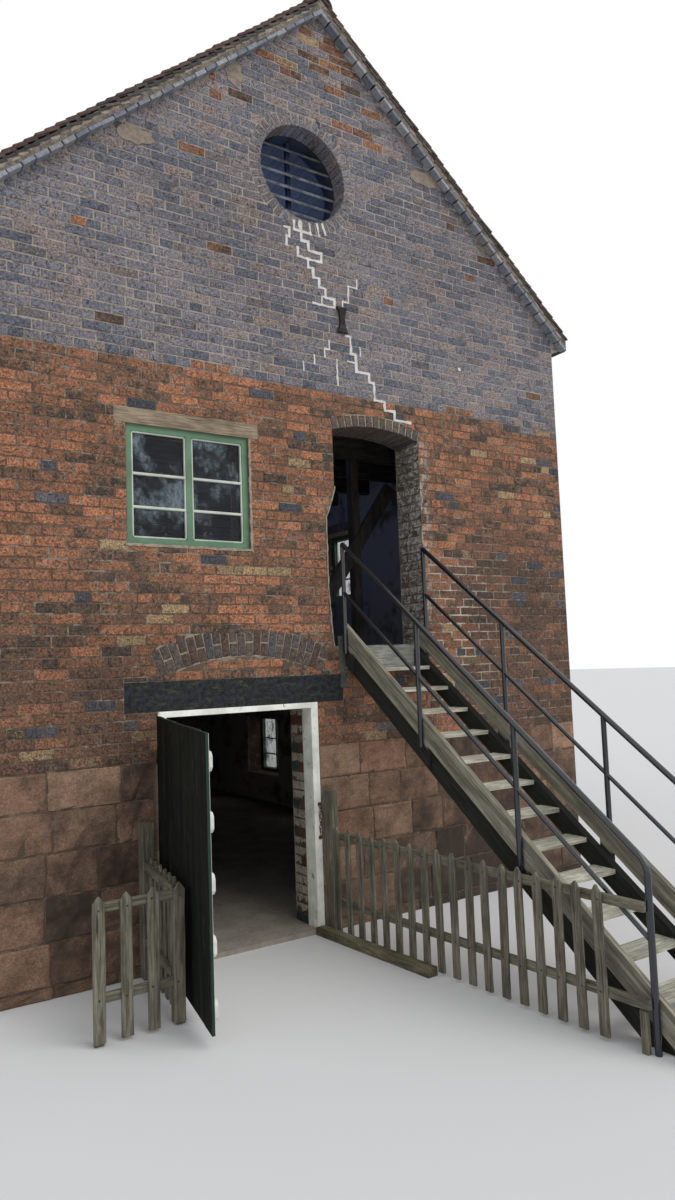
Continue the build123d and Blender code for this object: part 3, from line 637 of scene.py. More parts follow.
@dataclass(frozen=True)
class SlopeFinish(Finish):
    """Underside boards of a roof slope, with rough mortar on its two end faces."""

    verge_y: float

    def paint(self, mix: Recipe) -> None:
        """Lays boards, and bedding with tile ends where the slope ends.

        Args:
            mix: the recipe.
        """
        lumps, grit = mix.noise(22.0, 5.0, 0.7), mix.noise(120.0, 3.0, 0.6, shift=2.0)
        fibre = mix.noise(60.0, 4.0, 0.6, Grain.ALONG_Y.value)
        end = mix.y.size().step(self.verge_y - 0.003, self.verge_y - 0.001)
        rubble = (lumps * 0.6 + grit * 0.4).step(0.36, 0.6)
        bedding = mix.tinted((0.215, 0.178, 0.142), rubble, 0.42, 1.3)
        tile_ends = mix.noise(13.0, 5.0, 0.75, shift=8.0).step(0.51, 0.57)
        bedding = mix.blend(bedding, (0.085, 0.082, 0.086), tile_ends * 0.7)
        mix.colour = mix.tinted((0.075, 0.056, 0.042), fibre.step(0.25, 0.75), 0.6, 1.3)
        mix.cover(bedding, end)
        mix.done(0.93, lumps * 0.7 + grit * 0.3, 0.022, 1.0)


@dataclass(frozen=True)
class LouvreFinish(Finish):
    """Dark painted slats whose outer edges are bare and pale, darkened on the upper slats as
    painted shade.
    """

    edge_y: float

    def paint(self, mix: Recipe) -> None:
        """Lays paint, and bare wood on the edges, darkened upwards as painted shade.

        Args:
            mix: the recipe.
        """
        fibre = mix.noise(70.0, stretch=Grain.ALONG_X.value)
        wear = mix.noise(9.0, shift=4.0)
        mix.colour = mix.tinted((0.034, 0.048, 0.086), fibre.step(0.25, 0.75), 0.65, 1.5)
        pale = mix.tinted((0.33, 0.34, 0.37), wear.step(0.3, 0.7), 0.35, 1.15)
        # Painted shade: the upper slats' pale edges are darkened as if shaded by the top of the
        # round opening.
        pale = mix.tinted(pale, mix.z.step(6.85, 6.45), 0.35, 1.0)
        mix.cover(pale, mix.y.size().step(self.edge_y, self.edge_y + 0.003))
        mix.done(0.75, fibre, 0.002, 0.7, 0.3)


@dataclass(frozen=True)
class StringFinish(Finish):
    """Stair strings, near black below the tread noses as dark timber and painted shade, pale kick
    boards above.
    """

    front: float
    nose_z: float
    nose_out: float
    rake: float

    def paint(self, mix: Recipe) -> None:
        """Lays near black below the line of the noses, partly dark timber and partly painted
        shade, and pale timber above it.

        Args:
            mix: the recipe.
        """
        rise = mix.z - (self.nose_z - (self.front - self.nose_out - mix.y) * self.rake)
        lean = 1.0 / math.hypot(1.0, self.rake)
        across, along = rise * lean, (mix.y + mix.z * self.rake) * lean
        fibre, bands = mix.fibres(across, along, 75.0), mix.fibres(across, along, 17.0)
        moss = mix.noise(24.0, 5.0, 0.75, shift=3.0).step(0.52, 0.66)
        pale = mix.tinted((0.27, 0.25, 0.195), bands.step(0.32, 0.68), 0.62, 1.26)
        pale = mix.blend(pale, (0.12, 0.12, 0.075), moss * 0.25)
        # Below the noses: near black, partly the dark string and partly painted shade under the
        # treads.
        mix.colour = mix.blend((0.026, 0.028, 0.022), pale, rise.step(0.01, 0.04))
        mix.shade(fibre.step(0.3, 0.7), 0.56, 1.34)
        mix.done(0.9, fibre * 0.6 + bands * 0.4, gloss=0.22)


WARM_BRICK = (
    (0.0, (0.085, 0.066, 0.054)), (0.05, (0.15, 0.098, 0.072)), (0.25, (0.245, 0.132, 0.082)),
    (0.5, (0.345, 0.158, 0.092)), (0.7, (0.44, 0.192, 0.106)), (0.84, (0.52, 0.226, 0.124)),
    (0.92, (0.31, 0.185, 0.125)), (0.975, (0.34, 0.215, 0.135)), (1.0, (0.46, 0.33, 0.17)),
)
COOL_BRICK = (
    (0.0, (0.12, 0.13, 0.16)), (0.15, (0.152, 0.156, 0.188)), (0.3, (0.182, 0.178, 0.204)),
    (0.5, (0.212, 0.2, 0.224)), (0.65, (0.24, 0.218, 0.236)), (0.78, (0.252, 0.216, 0.218)),
    (0.9, (0.3, 0.236, 0.218)), (0.96, (0.18, 0.188, 0.222)), (1.0, (0.165, 0.195, 0.255)),
)
WALL_BRICK = BrickFinish("wall_brick", WARM_BRICK, COOL_BRICK)
FRONT_BRICK = replace(WALL_BRICK, name="front_brick", smear=(0.955, 1.13, 2.45, 4.35))
ARCH_BRICK = BrickFinish(
    "arch_brick",
    warm=((0.0, (0.175, 0.112, 0.084)), (0.5, (0.225, 0.13, 0.092)), (1.0, (0.3, 0.15, 0.098))),
    cool=((0.0, (0.105, 0.084, 0.072)), (0.7, (0.155, 0.118, 0.1)), (1.0, (0.09, 0.092, 0.1))),
    lime=0.12,
)
VENT_BRICK = BrickFinish(
    "vent_brick",
    warm=((0.0, (0.13, 0.11, 0.105)), (1.0, (0.18, 0.14, 0.125))),
    cool=((0.0, (0.18, 0.16, 0.165)), (0.5, (0.255, 0.222, 0.225)), (0.8, (0.185, 0.182, 0.2)),
          (1.0, (0.29, 0.285, 0.31))),
    lime=0.12,
)
REVEAL_BRICK = BrickFinish(
    "reveal_brick",
    warm=((0.0, (0.24, 0.215, 0.19)), (0.5, (0.29, 0.25, 0.215)), (1.0, (0.36, 0.265, 0.21))),
    cool=((0.0, (0.23, 0.21, 0.185)), (1.0, (0.29, 0.25, 0.215))),
    sooty=(0.15, 0.125, 0.105),
    lime=0.9,
    lime_colour=(0.66, 0.64, 0.58),
    lime_scale=27.0,
    lime_range=(0.47, 0.57),
)
PAINTED_BRICK = BrickFinish(
    "painted_brick",
    warm=((0.0, (0.4, 0.36, 0.29)), (0.46, (0.46, 0.42, 0.35)), (0.54, (0.3, 0.24, 0.19)),
          (0.6, (0.13, 0.045, 0.036)), (0.82, (0.16, 0.06, 0.045)), (0.86, (0.03, 0.065, 0.055)),
          (1.0, (0.04, 0.08, 0.065))),
    cool=((0.0, (0.1, 0.07, 0.06)), (1.0, (0.18, 0.13, 0.11))),
    lime=0.35,
    burn=0.0,
)
BASE_STONE = StoneFinish(
    "base_stone",
    ((0.0, (0.228, 0.137, 0.094)), (0.25, (0.305, 0.184, 0.121)), (0.5, (0.27, 0.176, 0.119)),
     (0.75, (0.345, 0.213, 0.142)), (1.0, (0.302, 0.166, 0.112))),
)
# The dark low colours of the wall and stone joints are partly the mortar's own colour and partly
# painted shade of the recessed joints.
JOINTS = MortarFinish("joint_mortar", (0.15, 0.104, 0.074), (0.36, 0.31, 0.27))
ARCH_JOINTS = MortarFinish("arch_joint_mortar", (0.36, 0.31, 0.24), (0.36, 0.31, 0.24),
                           soil_and_shade=(0.16, 0.13, 0.1))
STONE_JOINTS = MortarFinish("stone_joint_mortar", (0.115, 0.08, 0.058), (0.36, 0.305, 0.26),
                            flecked=0.22)
ROOF_TILE = TileFinish(
    "roof_tile",
    ((0.0, (0.065, 0.048, 0.045)), (0.4, (0.1, 0.062, 0.052)), (0.7, (0.13, 0.08, 0.062)),
     (1.0, (0.085, 0.078, 0.078))),
)
VERGE_TILE = TileFinish(
    "verge_tile",
    ((0.0, (0.155, 0.17, 0.205)), (0.5, (0.255, 0.272, 0.31)), (0.8, (0.35, 0.355, 0.375)),
     (1.0, (0.23, 0.22, 0.22))),
)
TILE_END = TileFinish(
    "verge_tile_end",
    ((0.0, (0.045, 0.045, 0.05)), (0.7, (0.085, 0.08, 0.08)), (1.0, (0.15, 0.125, 0.105))),
)
CRACK_LIME = PlainFinish("crack_lime", (0.74, 0.73, 0.7), (0.5, 0.47, 0.43), 16.0)
PATCH_LIME = PlainFinish("patch_render", (0.31, 0.255, 0.205), (0.19, 0.15, 0.12), 22.0)
VERGE_BED = PlainFinish("verge_bedding", (0.43, 0.37, 0.29), (0.2, 0.165, 0.13), 15.0)
EDGE_LIME = PlainFinish("edge_lime", (0.42, 0.36, 0.28), (0.2, 0.16, 0.12), 24.0)
CEMENT = PlainFinish("cement_patch", (0.125, 0.128, 0.105), (0.06, 0.063, 0.052), 11.0)
SCREED = PlainFinish("floor_screed", (0.36, 0.32, 0.27), (0.24, 0.215, 0.18), 3.0)
FENCE_TIMBER = TimberFinish("fence_timber", Grain.ALONG_Z, (0.215, 0.2, 0.152),
                            (0.115, 0.106, 0.08), 0.2, band=44.0)
RAIL_TIMBER = TimberFinish("fence_rail_timber", Grain.ALONG_Y, (0.205, 0.19, 0.14),
                           (0.115, 0.105, 0.078), 0.25, band=44.0)
CROSS_RAIL_TIMBER = replace(RAIL_TIMBER, name="cross_rail_timber", grain=Grain.ALONG_X)
BOARD_TIMBER = TimberFinish("gravel_board_timber", Grain.ALONG_Y, (0.24, 0.21, 0.135),
                            (0.1, 0.088, 0.055), 0.6)
TREAD_TIMBER = TimberFinish("tread_timber", Grain.ALONG_X, (0.64, 0.62, 0.52),
                            (0.4, 0.39, 0.31), 0.35)
SILL_TIMBER = TimberFinish("sill_timber", Grain.ALONG_X, (0.33, 0.33, 0.3),
                           (0.235, 0.235, 0.21), 0.1)
LINTEL_TIMBER = TimberFinish("lintel_timber", Grain.ALONG_X, (0.32, 0.25, 0.175),
                             (0.21, 0.165, 0.115))
OLD_TIMBER = TimberFinish("old_timber", Grain.ALONG_X, (0.15, 0.132, 0.118),
                          (0.075, 0.067, 0.06))
OLD_POST = TimberFinish("old_post_timber", Grain.ALONG_Z, (0.135, 0.118, 0.106),
                        (0.068, 0.06, 0.055))
LINTEL_TAR = TarFinish("lintel_tar", (0.015, 0.018, 0.02), (0.1, 0.102, 0.06))
GREEN_FRAME = TimberFinish("green_frame", Grain.ALONG_X, (0.4, 0.4, 0.33), (0.22, 0.21, 0.17),
                           coat=(0.122, 0.228, 0.136), flaking=0.7)
CREAM_BEAD = replace(GREEN_FRAME, name="cream_bead", coat=(0.58, 0.62, 0.54), flaking=0.62)
WHITE_FRAME = TimberFinish("white_frame", Grain.ALONG_Z, (0.24, 0.21, 0.17),
                           (0.11, 0.095, 0.075), coat=(0.92, 0.93, 0.85), flaking=0.76)
WHITE_LEDGE = TimberFinish("white_ledge", Grain.ALONG_Y, (0.26, 0.23, 0.19),
                           (0.14, 0.125, 0.1), coat=(0.7, 0.71, 0.67), flaking=0.66)
DARK_DOOR = TimberFinish("dark_door", Grain.ALONG_Z, (0.045, 0.04, 0.03),
                         (0.016, 0.015, 0.013), coat=(0.0065, 0.0085, 0.0055), flaking=0.84,
                         rough=0.72, gloss=0.14, streak=0.55)
GREEN_EDGE = TimberFinish("green_edge", Grain.ALONG_Z, (0.06, 0.056, 0.045),
                          (0.03, 0.028, 0.024), coat=(0.01, 0.031, 0.018), flaking=0.7)
GREEN_LEAF = TimberFinish("green_leaf", Grain.ALONG_Z, (0.1, 0.1, 0.08), (0.04, 0.04, 0.03),
                          coat=(0.03, 0.09, 0.062), flaking=0.64)
RAIL_PAINT = MetalFinish("rail_paint", (0.01, 0.013, 0.019), (0.046, 0.034, 0.027), 0.3, 0.12,
                         gloss=0.8)
BLACK_IRON = MetalFinish("black_iron", (0.016, 0.016, 0.018), (0.06, 0.032, 0.02), 0.42, 0.5)
TIE_IRON = MetalFinish("tie_iron", (0.01, 0.01, 0.012), (0.022, 0.015, 0.014), 0.5, 0.7)
RUSTY_IRON = MetalFinish("rusty_iron", (0.05, 0.035, 0.028), (0.11, 0.045, 0.022), 0.62, 0.6)
PORCELAIN = MetalFinish("white_porcelain", (0.62, 0.62, 0.6), (0.25, 0.22, 0.18), 0.28, 0.25)
WINDOW_GLASS = GlassFinish("window_glass_finish")


class Paints:
    """Makes each finish once and hands it out."""

    def __init__(self) -> None:
        """Starts with nothing made."""
        self._made: dict[str, bpy.types.Material] = {}

    def get(self, finish: Finish) -> bpy.types.Material:
        """The material of a finish, made the first time that it is asked for.

        Args:
            finish: the finish.

        Returns:
            Its material.
        """
        if finish.name not in self._made:
            self._made[finish.name] = finish.make()
        return self._made[finish.name]


PAINTS = Paints()


# Shared geometry


def box_of(node: str) -> tuple[Vector, Vector]:
    """Lowest and highest corner of a CAD node."""
    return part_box(node)


@dataclass(frozen=True)
class MillSizes:
    """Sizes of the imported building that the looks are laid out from, in metres."""

    half: float
    front: float
    back: float
    base_top: float
    eave: float
    slope: float
    wall: float

    @property
    def apex(self) -> float:
        """Height of the point where the two wall slopes meet."""
        return self.eave + self.half * self.slope

    @staticmethod
    def read() -> "MillSizes":
        """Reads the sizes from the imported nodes.

        Returns:
            The sizes.
        """
        low, high = box_of("front_base")
        eave = box_of("left_wall")[1].z
        slope = (box_of("front_gable")[1].z - eave) / high.x
        back = box_of("back_wall")[1].y
        return MillSizes(high.x, low.y, back, high.z, eave, slope, high.y - low.y)


SIZES = MillSizes.read()


@dataclass(frozen=True)
class Plane:
    """An upright face: a plan point on it, and its angle round from the front."""

    x: float
    y: float
    yaw: float

    def place(self, along: float, height: float, out: float = 0.0) -> Vector:
        """A point on the face.

        Args:
            along: distance from the plan point, to the right of someone who faces it.
            height: above the ground.
            out: distance in front of the face.

        Returns:
            The point.
        """
        cos, sin = math.cos(self.yaw), math.sin(self.yaw)
        x, y = self.x + along * cos + out * sin, self.y + along * sin - out * cos
        return Vector((x, y, height))


FRONT_FACE = Plane(0.0, SIZES.front, 0.0)
RIGHT_FACE = Plane(SIZES.half, 0.0, math.pi / 2)
BACK_FACE = Plane(0.0, SIZES.back, math.pi)
LEFT_FACE = Plane(-SIZES.half, 0.0, -math.pi / 2)


@dataclass
class Spot:
    """Where one repeated thing goes, how it is turned and how large it is."""

    place: Vector
    size: Triple
    turn: Triple = (0.0, 0.0, 0.0)
    tone: float = 0.5
    soot: float = 0.0


class ScatterTree:
    """The geometry tree that puts templates on spots."""

    def __init__(self) -> None:
        """Builds the tree with its named inputs."""
        self.tree = bpy.data.node_groups.new("lay_on_spots", "GeometryNodeTree")
        self.keys: dict[str, str] = {}
        kinds = {"Spots": "Geometry", "Templates": "Collection", "Seed": "Int",
                 "Last template": "Int", "Length factor": "Float", "Depth factor": "Float",
                 "Height factor": "Float", "Finish": "Material"}
        for name, kind in kinds.items():
            item = self.tree.interface.new_socket(name, in_out="INPUT",
                                                  socket_type="NodeSocket" + kind)
            self.keys[name] = item.identifier
        self.tree.interface.new_socket("Pieces", in_out="OUTPUT", socket_type="NodeSocketGeometry")
        self._wire(Weave(self.tree))

    @staticmethod
    def _wire(weave: Weave) -> None:
        """Adds the nodes.

        Args:
            weave: what adds nodes to the tree.
        """
        given = weave.add("NodeGroupInput").outputs
        pick = weave.add("FunctionNodeRandomValue", {"Seed": given["Seed"]}, data_type="INT")
        weave.feed(pick.inputs[4], 0)
        weave.feed(pick.inputs[5], given["Last template"])
        size, turn = (weave.add("GeometryNodeInputNamedAttribute", {0: name},
                                data_type="FLOAT_VECTOR") for name in ("size", "turn"))
        factor = weave.add("ShaderNodeCombineXYZ", {
            0: given["Length factor"], 1: given["Depth factor"], 2: given["Height factor"]})
        scaled = weave.add("ShaderNodeVectorMath", {0: size.outputs[0], 1: factor.outputs[0]},
                           operation="MULTIPLY")
        spin = weave.add("FunctionNodeEulerToRotation", {0: turn.outputs[0]})
        source = weave.add("GeometryNodeCollectionInfo", {
            "Collection": given["Templates"], "Separate Children": True, "Reset Children": True})
        lay = weave.add("GeometryNodeInstanceOnPoints", {
            "Points": given["Spots"], "Instance": source.outputs[0], "Pick Instance": True,
            "Instance Index": pick.outputs[2], "Rotation": spin.outputs[0],
            "Scale": scaled.outputs[0]})
        real = weave.add("GeometryNodeRealizeInstances", {0: lay.outputs[0]})
        dress = weave.add("GeometryNodeSetMaterial", {
            "Geometry": real.outputs[0], "Material": given["Finish"]})
        weave.add("NodeGroupOutput", {0: dress.outputs[0]})


SCATTER = ScatterTree()


def link(obj: bpy.types.Object) -> bpy.types.Object:
    """Puts an object into the scene."""
    bpy.context.scene.collection.objects.link(obj)
    return obj


def settle(name: str, shape: Shape) -> bpy.types.Mesh:
    """A mesh from one under construction.

    Args:
        name: the mesh's name.
        shape: the mesh under construction, which is freed.

    Returns:
        The mesh.
    """
    mesh = bpy.data.meshes.new(name)
    shape.to_mesh(mesh)
    shape.free()
    return mesh


def settle_closed(name: str, shape: Shape) -> bpy.types.Mesh:
    """A mesh from one under construction, with every face turned outwards first."""
    bmesh.ops.recalc_face_normals(shape, faces=shape.faces)
    return settle(name, shape)


def mesh_object(name: str, shape: Shape, *finishes: Finish) -> bpy.types.Object:
    """A scene object from a mesh under construction.

    Args:
        name: the piece's name.
        shape: the mesh, which is freed.
        finishes: its finishes, one per material number.

    Returns:
        The object.
    """
    mesh = settle(name, shape)
    for finish in finishes:
        mesh.materials.append(PAINTS.get(finish))
    return link(bpy.data.objects.new(name, mesh))


def plain_mesh(obj: bpy.types.Object) -> None:
    """Turns an object's evaluated shape into its own plain mesh and drops its modifiers.

    Args:
        obj: the object.
    """
    bpy.context.view_layer.update()
    graph = bpy.context.evaluated_depsgraph_get()
    shape = bpy.data.meshes.new_from_object(
        obj.evaluated_get(graph), preserve_all_data_layers=True, depsgraph=graph)
    obj.modifiers.clear()
    obj.data = shape
    shape.name = obj.name


def scatter(name: str, spots: Sequence[Spot], templates: Sequence[bpy.types.Mesh],
            finish: Finish, seed: int) -> bpy.types.Object:
    """Lays templates on spots and makes one plain piece of them.

    Args:
        name: the piece's name.
        spots: where the things go.
        templates: meshes of unit size to choose from.
        finish: the finish of all of them.
        seed: the seed of the choice.

    Returns:
        The piece.
    """
    points = bpy.data.meshes.new(name + "_spots")
    points.from_pydata([spot.place for spot in spots], [], [])
    for key in ("size", "turn"):
        layer = points.attributes.new(key, "FLOAT_VECTOR", "POINT")
        layer.data.foreach_set("vector", [c for spot in spots for c in getattr(spot, key)])
    for key in ("tone", "soot"):
        layer = points.attributes.new(key, "FLOAT", "POINT")
        layer.data.foreach_set("value", [getattr(spot, key) for spot in spots])
    folder = bpy.data.collections.new(name + "_templates")
    for number, template in enumerate(templates):
        folder.objects.link(bpy.data.objects.new(f"{name}_{number:02d}", template))
    piece = link(bpy.data.objects.new(name, points))
    laying = piece.modifiers.new("lay", "NODES")
    laying.node_group = SCATTER.tree
    inputs = {"Templates": folder, "Seed": seed, "Last template": len(templates) - 1,
              "Length factor": 1.0, "Depth factor": 1.0, "Height factor": 1.0,
              "Finish": PAINTS.get(finish)}
    for key, value in inputs.items():
        laying[SCATTER.keys[key]] = value
    plain_mesh(piece)
    for obj in list(folder.objects):
        bpy.data.objects.remove(obj)
    bpy.data.collections.remove(folder)
    bpy.data.meshes.remove(points)
    if not piece.data.materials:
        piece.data.materials.append(PAINTS.get(finish))
    piece.data.polygons.foreach_set("use_smooth", [False] * len(piece.data.polygons))
    for key in ("size", "turn"):
        if key in piece.data.attributes:
            piece.data.attributes.remove(piece.data.attributes[key])
    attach(piece, BODY)
    LOG.info("%s: %d laid, %d faces", name, len(spots), len(piece.data.polygons))
    return piece


def merge_into(shape: Shape, part: Shape) -> None:
    """Copies one mesh under construction into another and frees it.

    Args:
        shape: the mesh that grows.
        part: the mesh that goes into it.
    """
    copies = {vert: shape.verts.new(vert.co) for vert in part.verts}
    for face in part.faces:
        made = shape.faces.new([copies[vert] for vert in face.verts])
        made.material_index = face.material_index
        made.smooth = face.smooth
    part.free()


def chamfer(shape: Shape, edges: Iterable[bmesh.types.BMEdge], width: float,
            segments: int = 1) -> None:
    """Rounds edges of a mesh under construction.

    Args:
        shape: the mesh.
        edges: its edges that are rounded.
        width: the width of the round.
        segments: its faces across.
    """
    bmesh.ops.bevel(shape, geom=list(edges), offset=width, segments=segments, affect="EDGES")


def add_box(shape: Shape, low: Sequence[float], high: Sequence[float], bevel: float,
            move: Callable[[Vector], Vector] | None = None) -> None:
    """Adds one box with rounded edges to a mesh.

    Args:
        shape: the mesh.
        low: the box's lowest corner.
        high: its highest corner.
        bevel: the width of its rounded edges.
        move: an optional change of each corner.
    """
    part = bmesh.new()
    bmesh.ops.create_cube(part, size=1.0)
    for vert in part.verts:
        vert.co = Vector([l + (h - l) * (c + 0.5) for l, h, c in zip(low, high, vert.co)])
    chamfer(part, part.edges, bevel)
    if move is not None:
        for vert in part.verts:
            vert.co = move(vert.co)
    merge_into(shape, part)


def add_bar(shape: Shape, start: Vector, end: Vector, radius: float) -> None:
    """Adds a closed round bar to a mesh.

    Args:
        shape: the mesh.
        start: the middle of one end.
        end: the middle of the other.
        radius: half of its thickness.
    """
    axis = end - start
    part = bmesh.new()
    bmesh.ops.create_cone(part, cap_ends=True, segments=12, radius1=radius, radius2=radius,
                          depth=axis.length)
    turn = axis.to_track_quat("Z", "Y").to_matrix().to_4x4()
    part.transform(Matrix.Translation((start + end) / 2) @ turn)
    for face in part.faces:
        face.smooth = len(face.verts) == 4
    merge_into(shape, part)


def rim_of(rows: Sequence[Sequence[Any]]) -> list[Any]:
    """The outline of a grid of corners, once round.

    Args:
        rows: the grid.

    Returns:
        Its outer corners in order.
    """
    ends, starts = [row[-1] for row in rows[1:]], [row[0] for row in rows[-2:0:-1]]
    return [*rows[0], *ends, *rows[-1][-2::-1], *starts]


def rough_block(name: str, nominal: Triple, cells: tuple[int, int], edge: float, relief: float,
                seed: int, ragged: float = 0.5) -> bpy.types.Mesh:
    """A block of unit size whose face towards -Y is worn and uneven.

    Args:
        name: the mesh's name.
        nominal: the real length, depth and height that it is usually scaled to.
        cells: how many cells its face has along and up.
        edge: how far its edges are worn, in metres.
        relief: how uneven its face is, in metres.
        seed: the seed of its wear.
        ragged: how far its outline wanders, as a share of the edge.

    Returns:
        The mesh.
    """
    rng = random.Random(seed)
    across, up = cells
    length, depth, height = nominal
    shape = bmesh.new()
    rows = []
    for j in range(up + 1):
        row = []
        for i in range(across + 1):
            x = (i / across - 0.5) * length
            z = (j / up - 0.5) * height
            if i in (0, across) or j in (0, up):
                if i in (0, across):
                    x -= math.copysign(rng.uniform(0.0, edge * ragged), x)
                if j in (0, up):
                    z -= math.copysign(rng.uniform(0.0, edge * ragged), z)
                y = -depth / 2 + edge * rng.uniform(0.7, 1.3)
            else:
                pull = 1.0 - edge / max(length, height)
                if i in (1, across - 1):
                    x = math.copysign(length / 2 - edge * rng.uniform(0.8, 1.8), x)
                if j in (1, up - 1):
                    z = math.copysign(height / 2 - edge * rng.uniform(0.8, 1.6), z)
                y = -depth / 2 + rng.uniform(0.0, relief) * pull
            row.append(shape.verts.new((x / length, y / depth, z / height)))
        rows.append(row)
    for j in range(up):
        for i in range(across):
            shape.faces.new((rows[j][i], rows[j][i + 1], rows[j + 1][i + 1], rows[j + 1][i]))
    loop = rim_of(rows)
    rear = [shape.verts.new((v.co.x, 0.5, v.co.z)) for v in loop]
    count = len(loop)
    for k in range(count):
        shape.faces.new((loop[k], rear[k], rear[(k + 1) % count], loop[(k + 1) % count]))
    shape.faces.new(rear[::-1])
    return settle_closed(name, shape)


# Masonry


def cut(free: list[Pair], gap: Pair | None) -> list[Pair]:
    """Takes one gap out of a list of intervals.

    Args:
        free: the intervals.
        gap: the gap, if there is one.

    Returns:
        What is left of them.
    """
    if gap is None:
        return free
    left = []
    for low, high in free:
        if gap[1] <= low or gap[0] >= high:
            left.append((low, high))
            continue
        if gap[0] > low:
            left.append((low, gap[0]))
        if gap[1] < high:
            left.append((gap[1], high))
    return left


Gap = Callable[[float, float], Pair | None]


@dataclass(frozen=True)
class BoxGap:
    """A gap that is a rectangle on the face."""

    x0: float
    x1: float
    z0: float
    z1: float

    def __call__(self, low: float, high: float) -> Pair | None:
        """The blocked part of one course.

        Args:
            low: its bottom.
            high: its top.

        Returns:
            The ends of the part, if there is one.
        """
        bite = 0.012
        return (self.x0, self.x1) if low < self.z1 - bite and high > self.z0 + bite else None

    def strips(self, low: float, high: float) -> list[Pair]:
        """Parts of a blocked course that lie over or under the rectangle.

        Args:
            low: its bottom.
            high: its top.

        Returns:
            Bottom and top of each part.
        """
        if self(low, high) is None:
            return []
        return [(a, b) for a, b in ((low, self.z0), (self.z1, high)) if b - a > 0.02]


def round_gap(x: float, z: float, radius: float) -> Gap:
    """A gap that is a circle on the face.

    Args:
        x: its middle along the face.
        z: the height of its middle.
        radius: its radius.

    Returns:
        The gap.
    """
    def inner(low: float, high: float) -> Pair | None:
        """The blocked part of one course.

        Args:
            low: its bottom.
            high: its top.

        Returns:
            The ends of the part, if there is one.
        """
        near = abs((low + high) / 2 - z) + 0.25 * (high - low)
        if near >= radius - 0.004:
            return None
        half = math.sqrt(radius * radius - near * near)
        return (x - half, x + half)
    return inner


RING_UNDER = 0.008


@dataclass(frozen=True)
class Arch:
    """A segmental arch on a face: its middle, springing, half span, rise and ring."""

    x: float
    spring: float
    half: float
    rise: float
    ring: float

    @property
    def radius(self) -> float:
        """Radius of the inner curve."""
        return (self.half ** 2 + self.rise ** 2) / (2 * self.rise)

    @property
    def centre(self) -> float:
        """Height of the centre of both curves."""
        return self.spring + self.rise - self.radius

    @property
    def spread(self) -> float:
        """Half of the angle that the ring covers."""
        return math.asin(self.half / self.radius)

    def half_at(self, z: float, outer: bool) -> float:
        """Half width at a height, of the ring's outline or of the opening.

        Args:
            z: the height.
            outer: whether the ring counts too.

        Returns:
            The half width, 0 above the crown.
        """
        reach = self.radius + (self.ring if outer else 0.0)
        end = self.centre + (self.spring - self.centre) * reach / self.radius
        if z <= self.spring:
            return self.half
        if z < end:
            return self.half * (z - self.centre) / (self.spring - self.centre)
        rest = reach ** 2 - (z - self.centre) ** 2
        return math.sqrt(rest) if rest > 0.0 else 0.0

    def gap(self) -> Gap:
        """What the arch and the opening below it take from the courses above the springing.

        Returns:
            The gap.
        """
        def inner(low: float, high: float) -> Pair | None:
            """The blocked part of one course.

            Args:
                low: its bottom.
                high: its top.

            Returns:
                The ends of the part, if there is one.
            """
            if high <= self.spring - 0.03:
                return None
            half = self.half_at(max(0.25 * low + 0.75 * high, self.spring), True)
            return (self.x - half, self.x + half) if half > 0.02 else None
        return inner

    def ring_spots(self, face: Plane, count: int, joint: float, rng: random.Random, soot: float,
                   halves: bool, depth: float = 0.03) -> list[Spot]:
        """Bricks of the ring, on edge along its radii.

        Args:
            face: the face that the arch is on.
            count: how many bricks stand side by side.
            joint: the joint between them.
            rng: random numbers for tones.
            soot: how dark they are.
            halves: whether every second one is two half bricks.
            depth: how far the bricks go into the wall.

        Returns:
            The spots.
        """
        spots = []
        under = RING_UNDER if depth > 0.1 else 0.0
        proud = 0.009
        width = 2 * self.spread * (self.radius + self.ring / 2) / count - joint
        for index in range(count):
            angle = self.spread * (2 * (index + 0.5) / count - 1)
            parts = 2 if halves and index % 2 == 1 else 1
            for part in range(parts):
                length = self.ring / parts
                reach = self.radius + length * (part + 0.5) - under
                place = face.place(self.x + reach * math.sin(angle),
                                   self.centre + reach * math.cos(angle), proud - depth / 2)
                size, turn = (width, depth, length - joint + under), (0.0, angle, face.yaw)
                tone, dark = rng.random(), min(1.0, max(0.0, soot + rng.uniform(-0.2, 0.2)))
                spots.append(Spot(place, size, turn, tone, dark))
        return spots


@dataclass(frozen=True)
class Bond:
    """Sizes of the brickwork: course, joint, brick and half brick, and how often headers come."""

    course: float = 0.078
    joint: float = 0.0075
    stretcher: float = 0.2295
    header: float = 0.11475
    header_every: int = 6
    header_first: int = 3
    shortest: float = 0.055


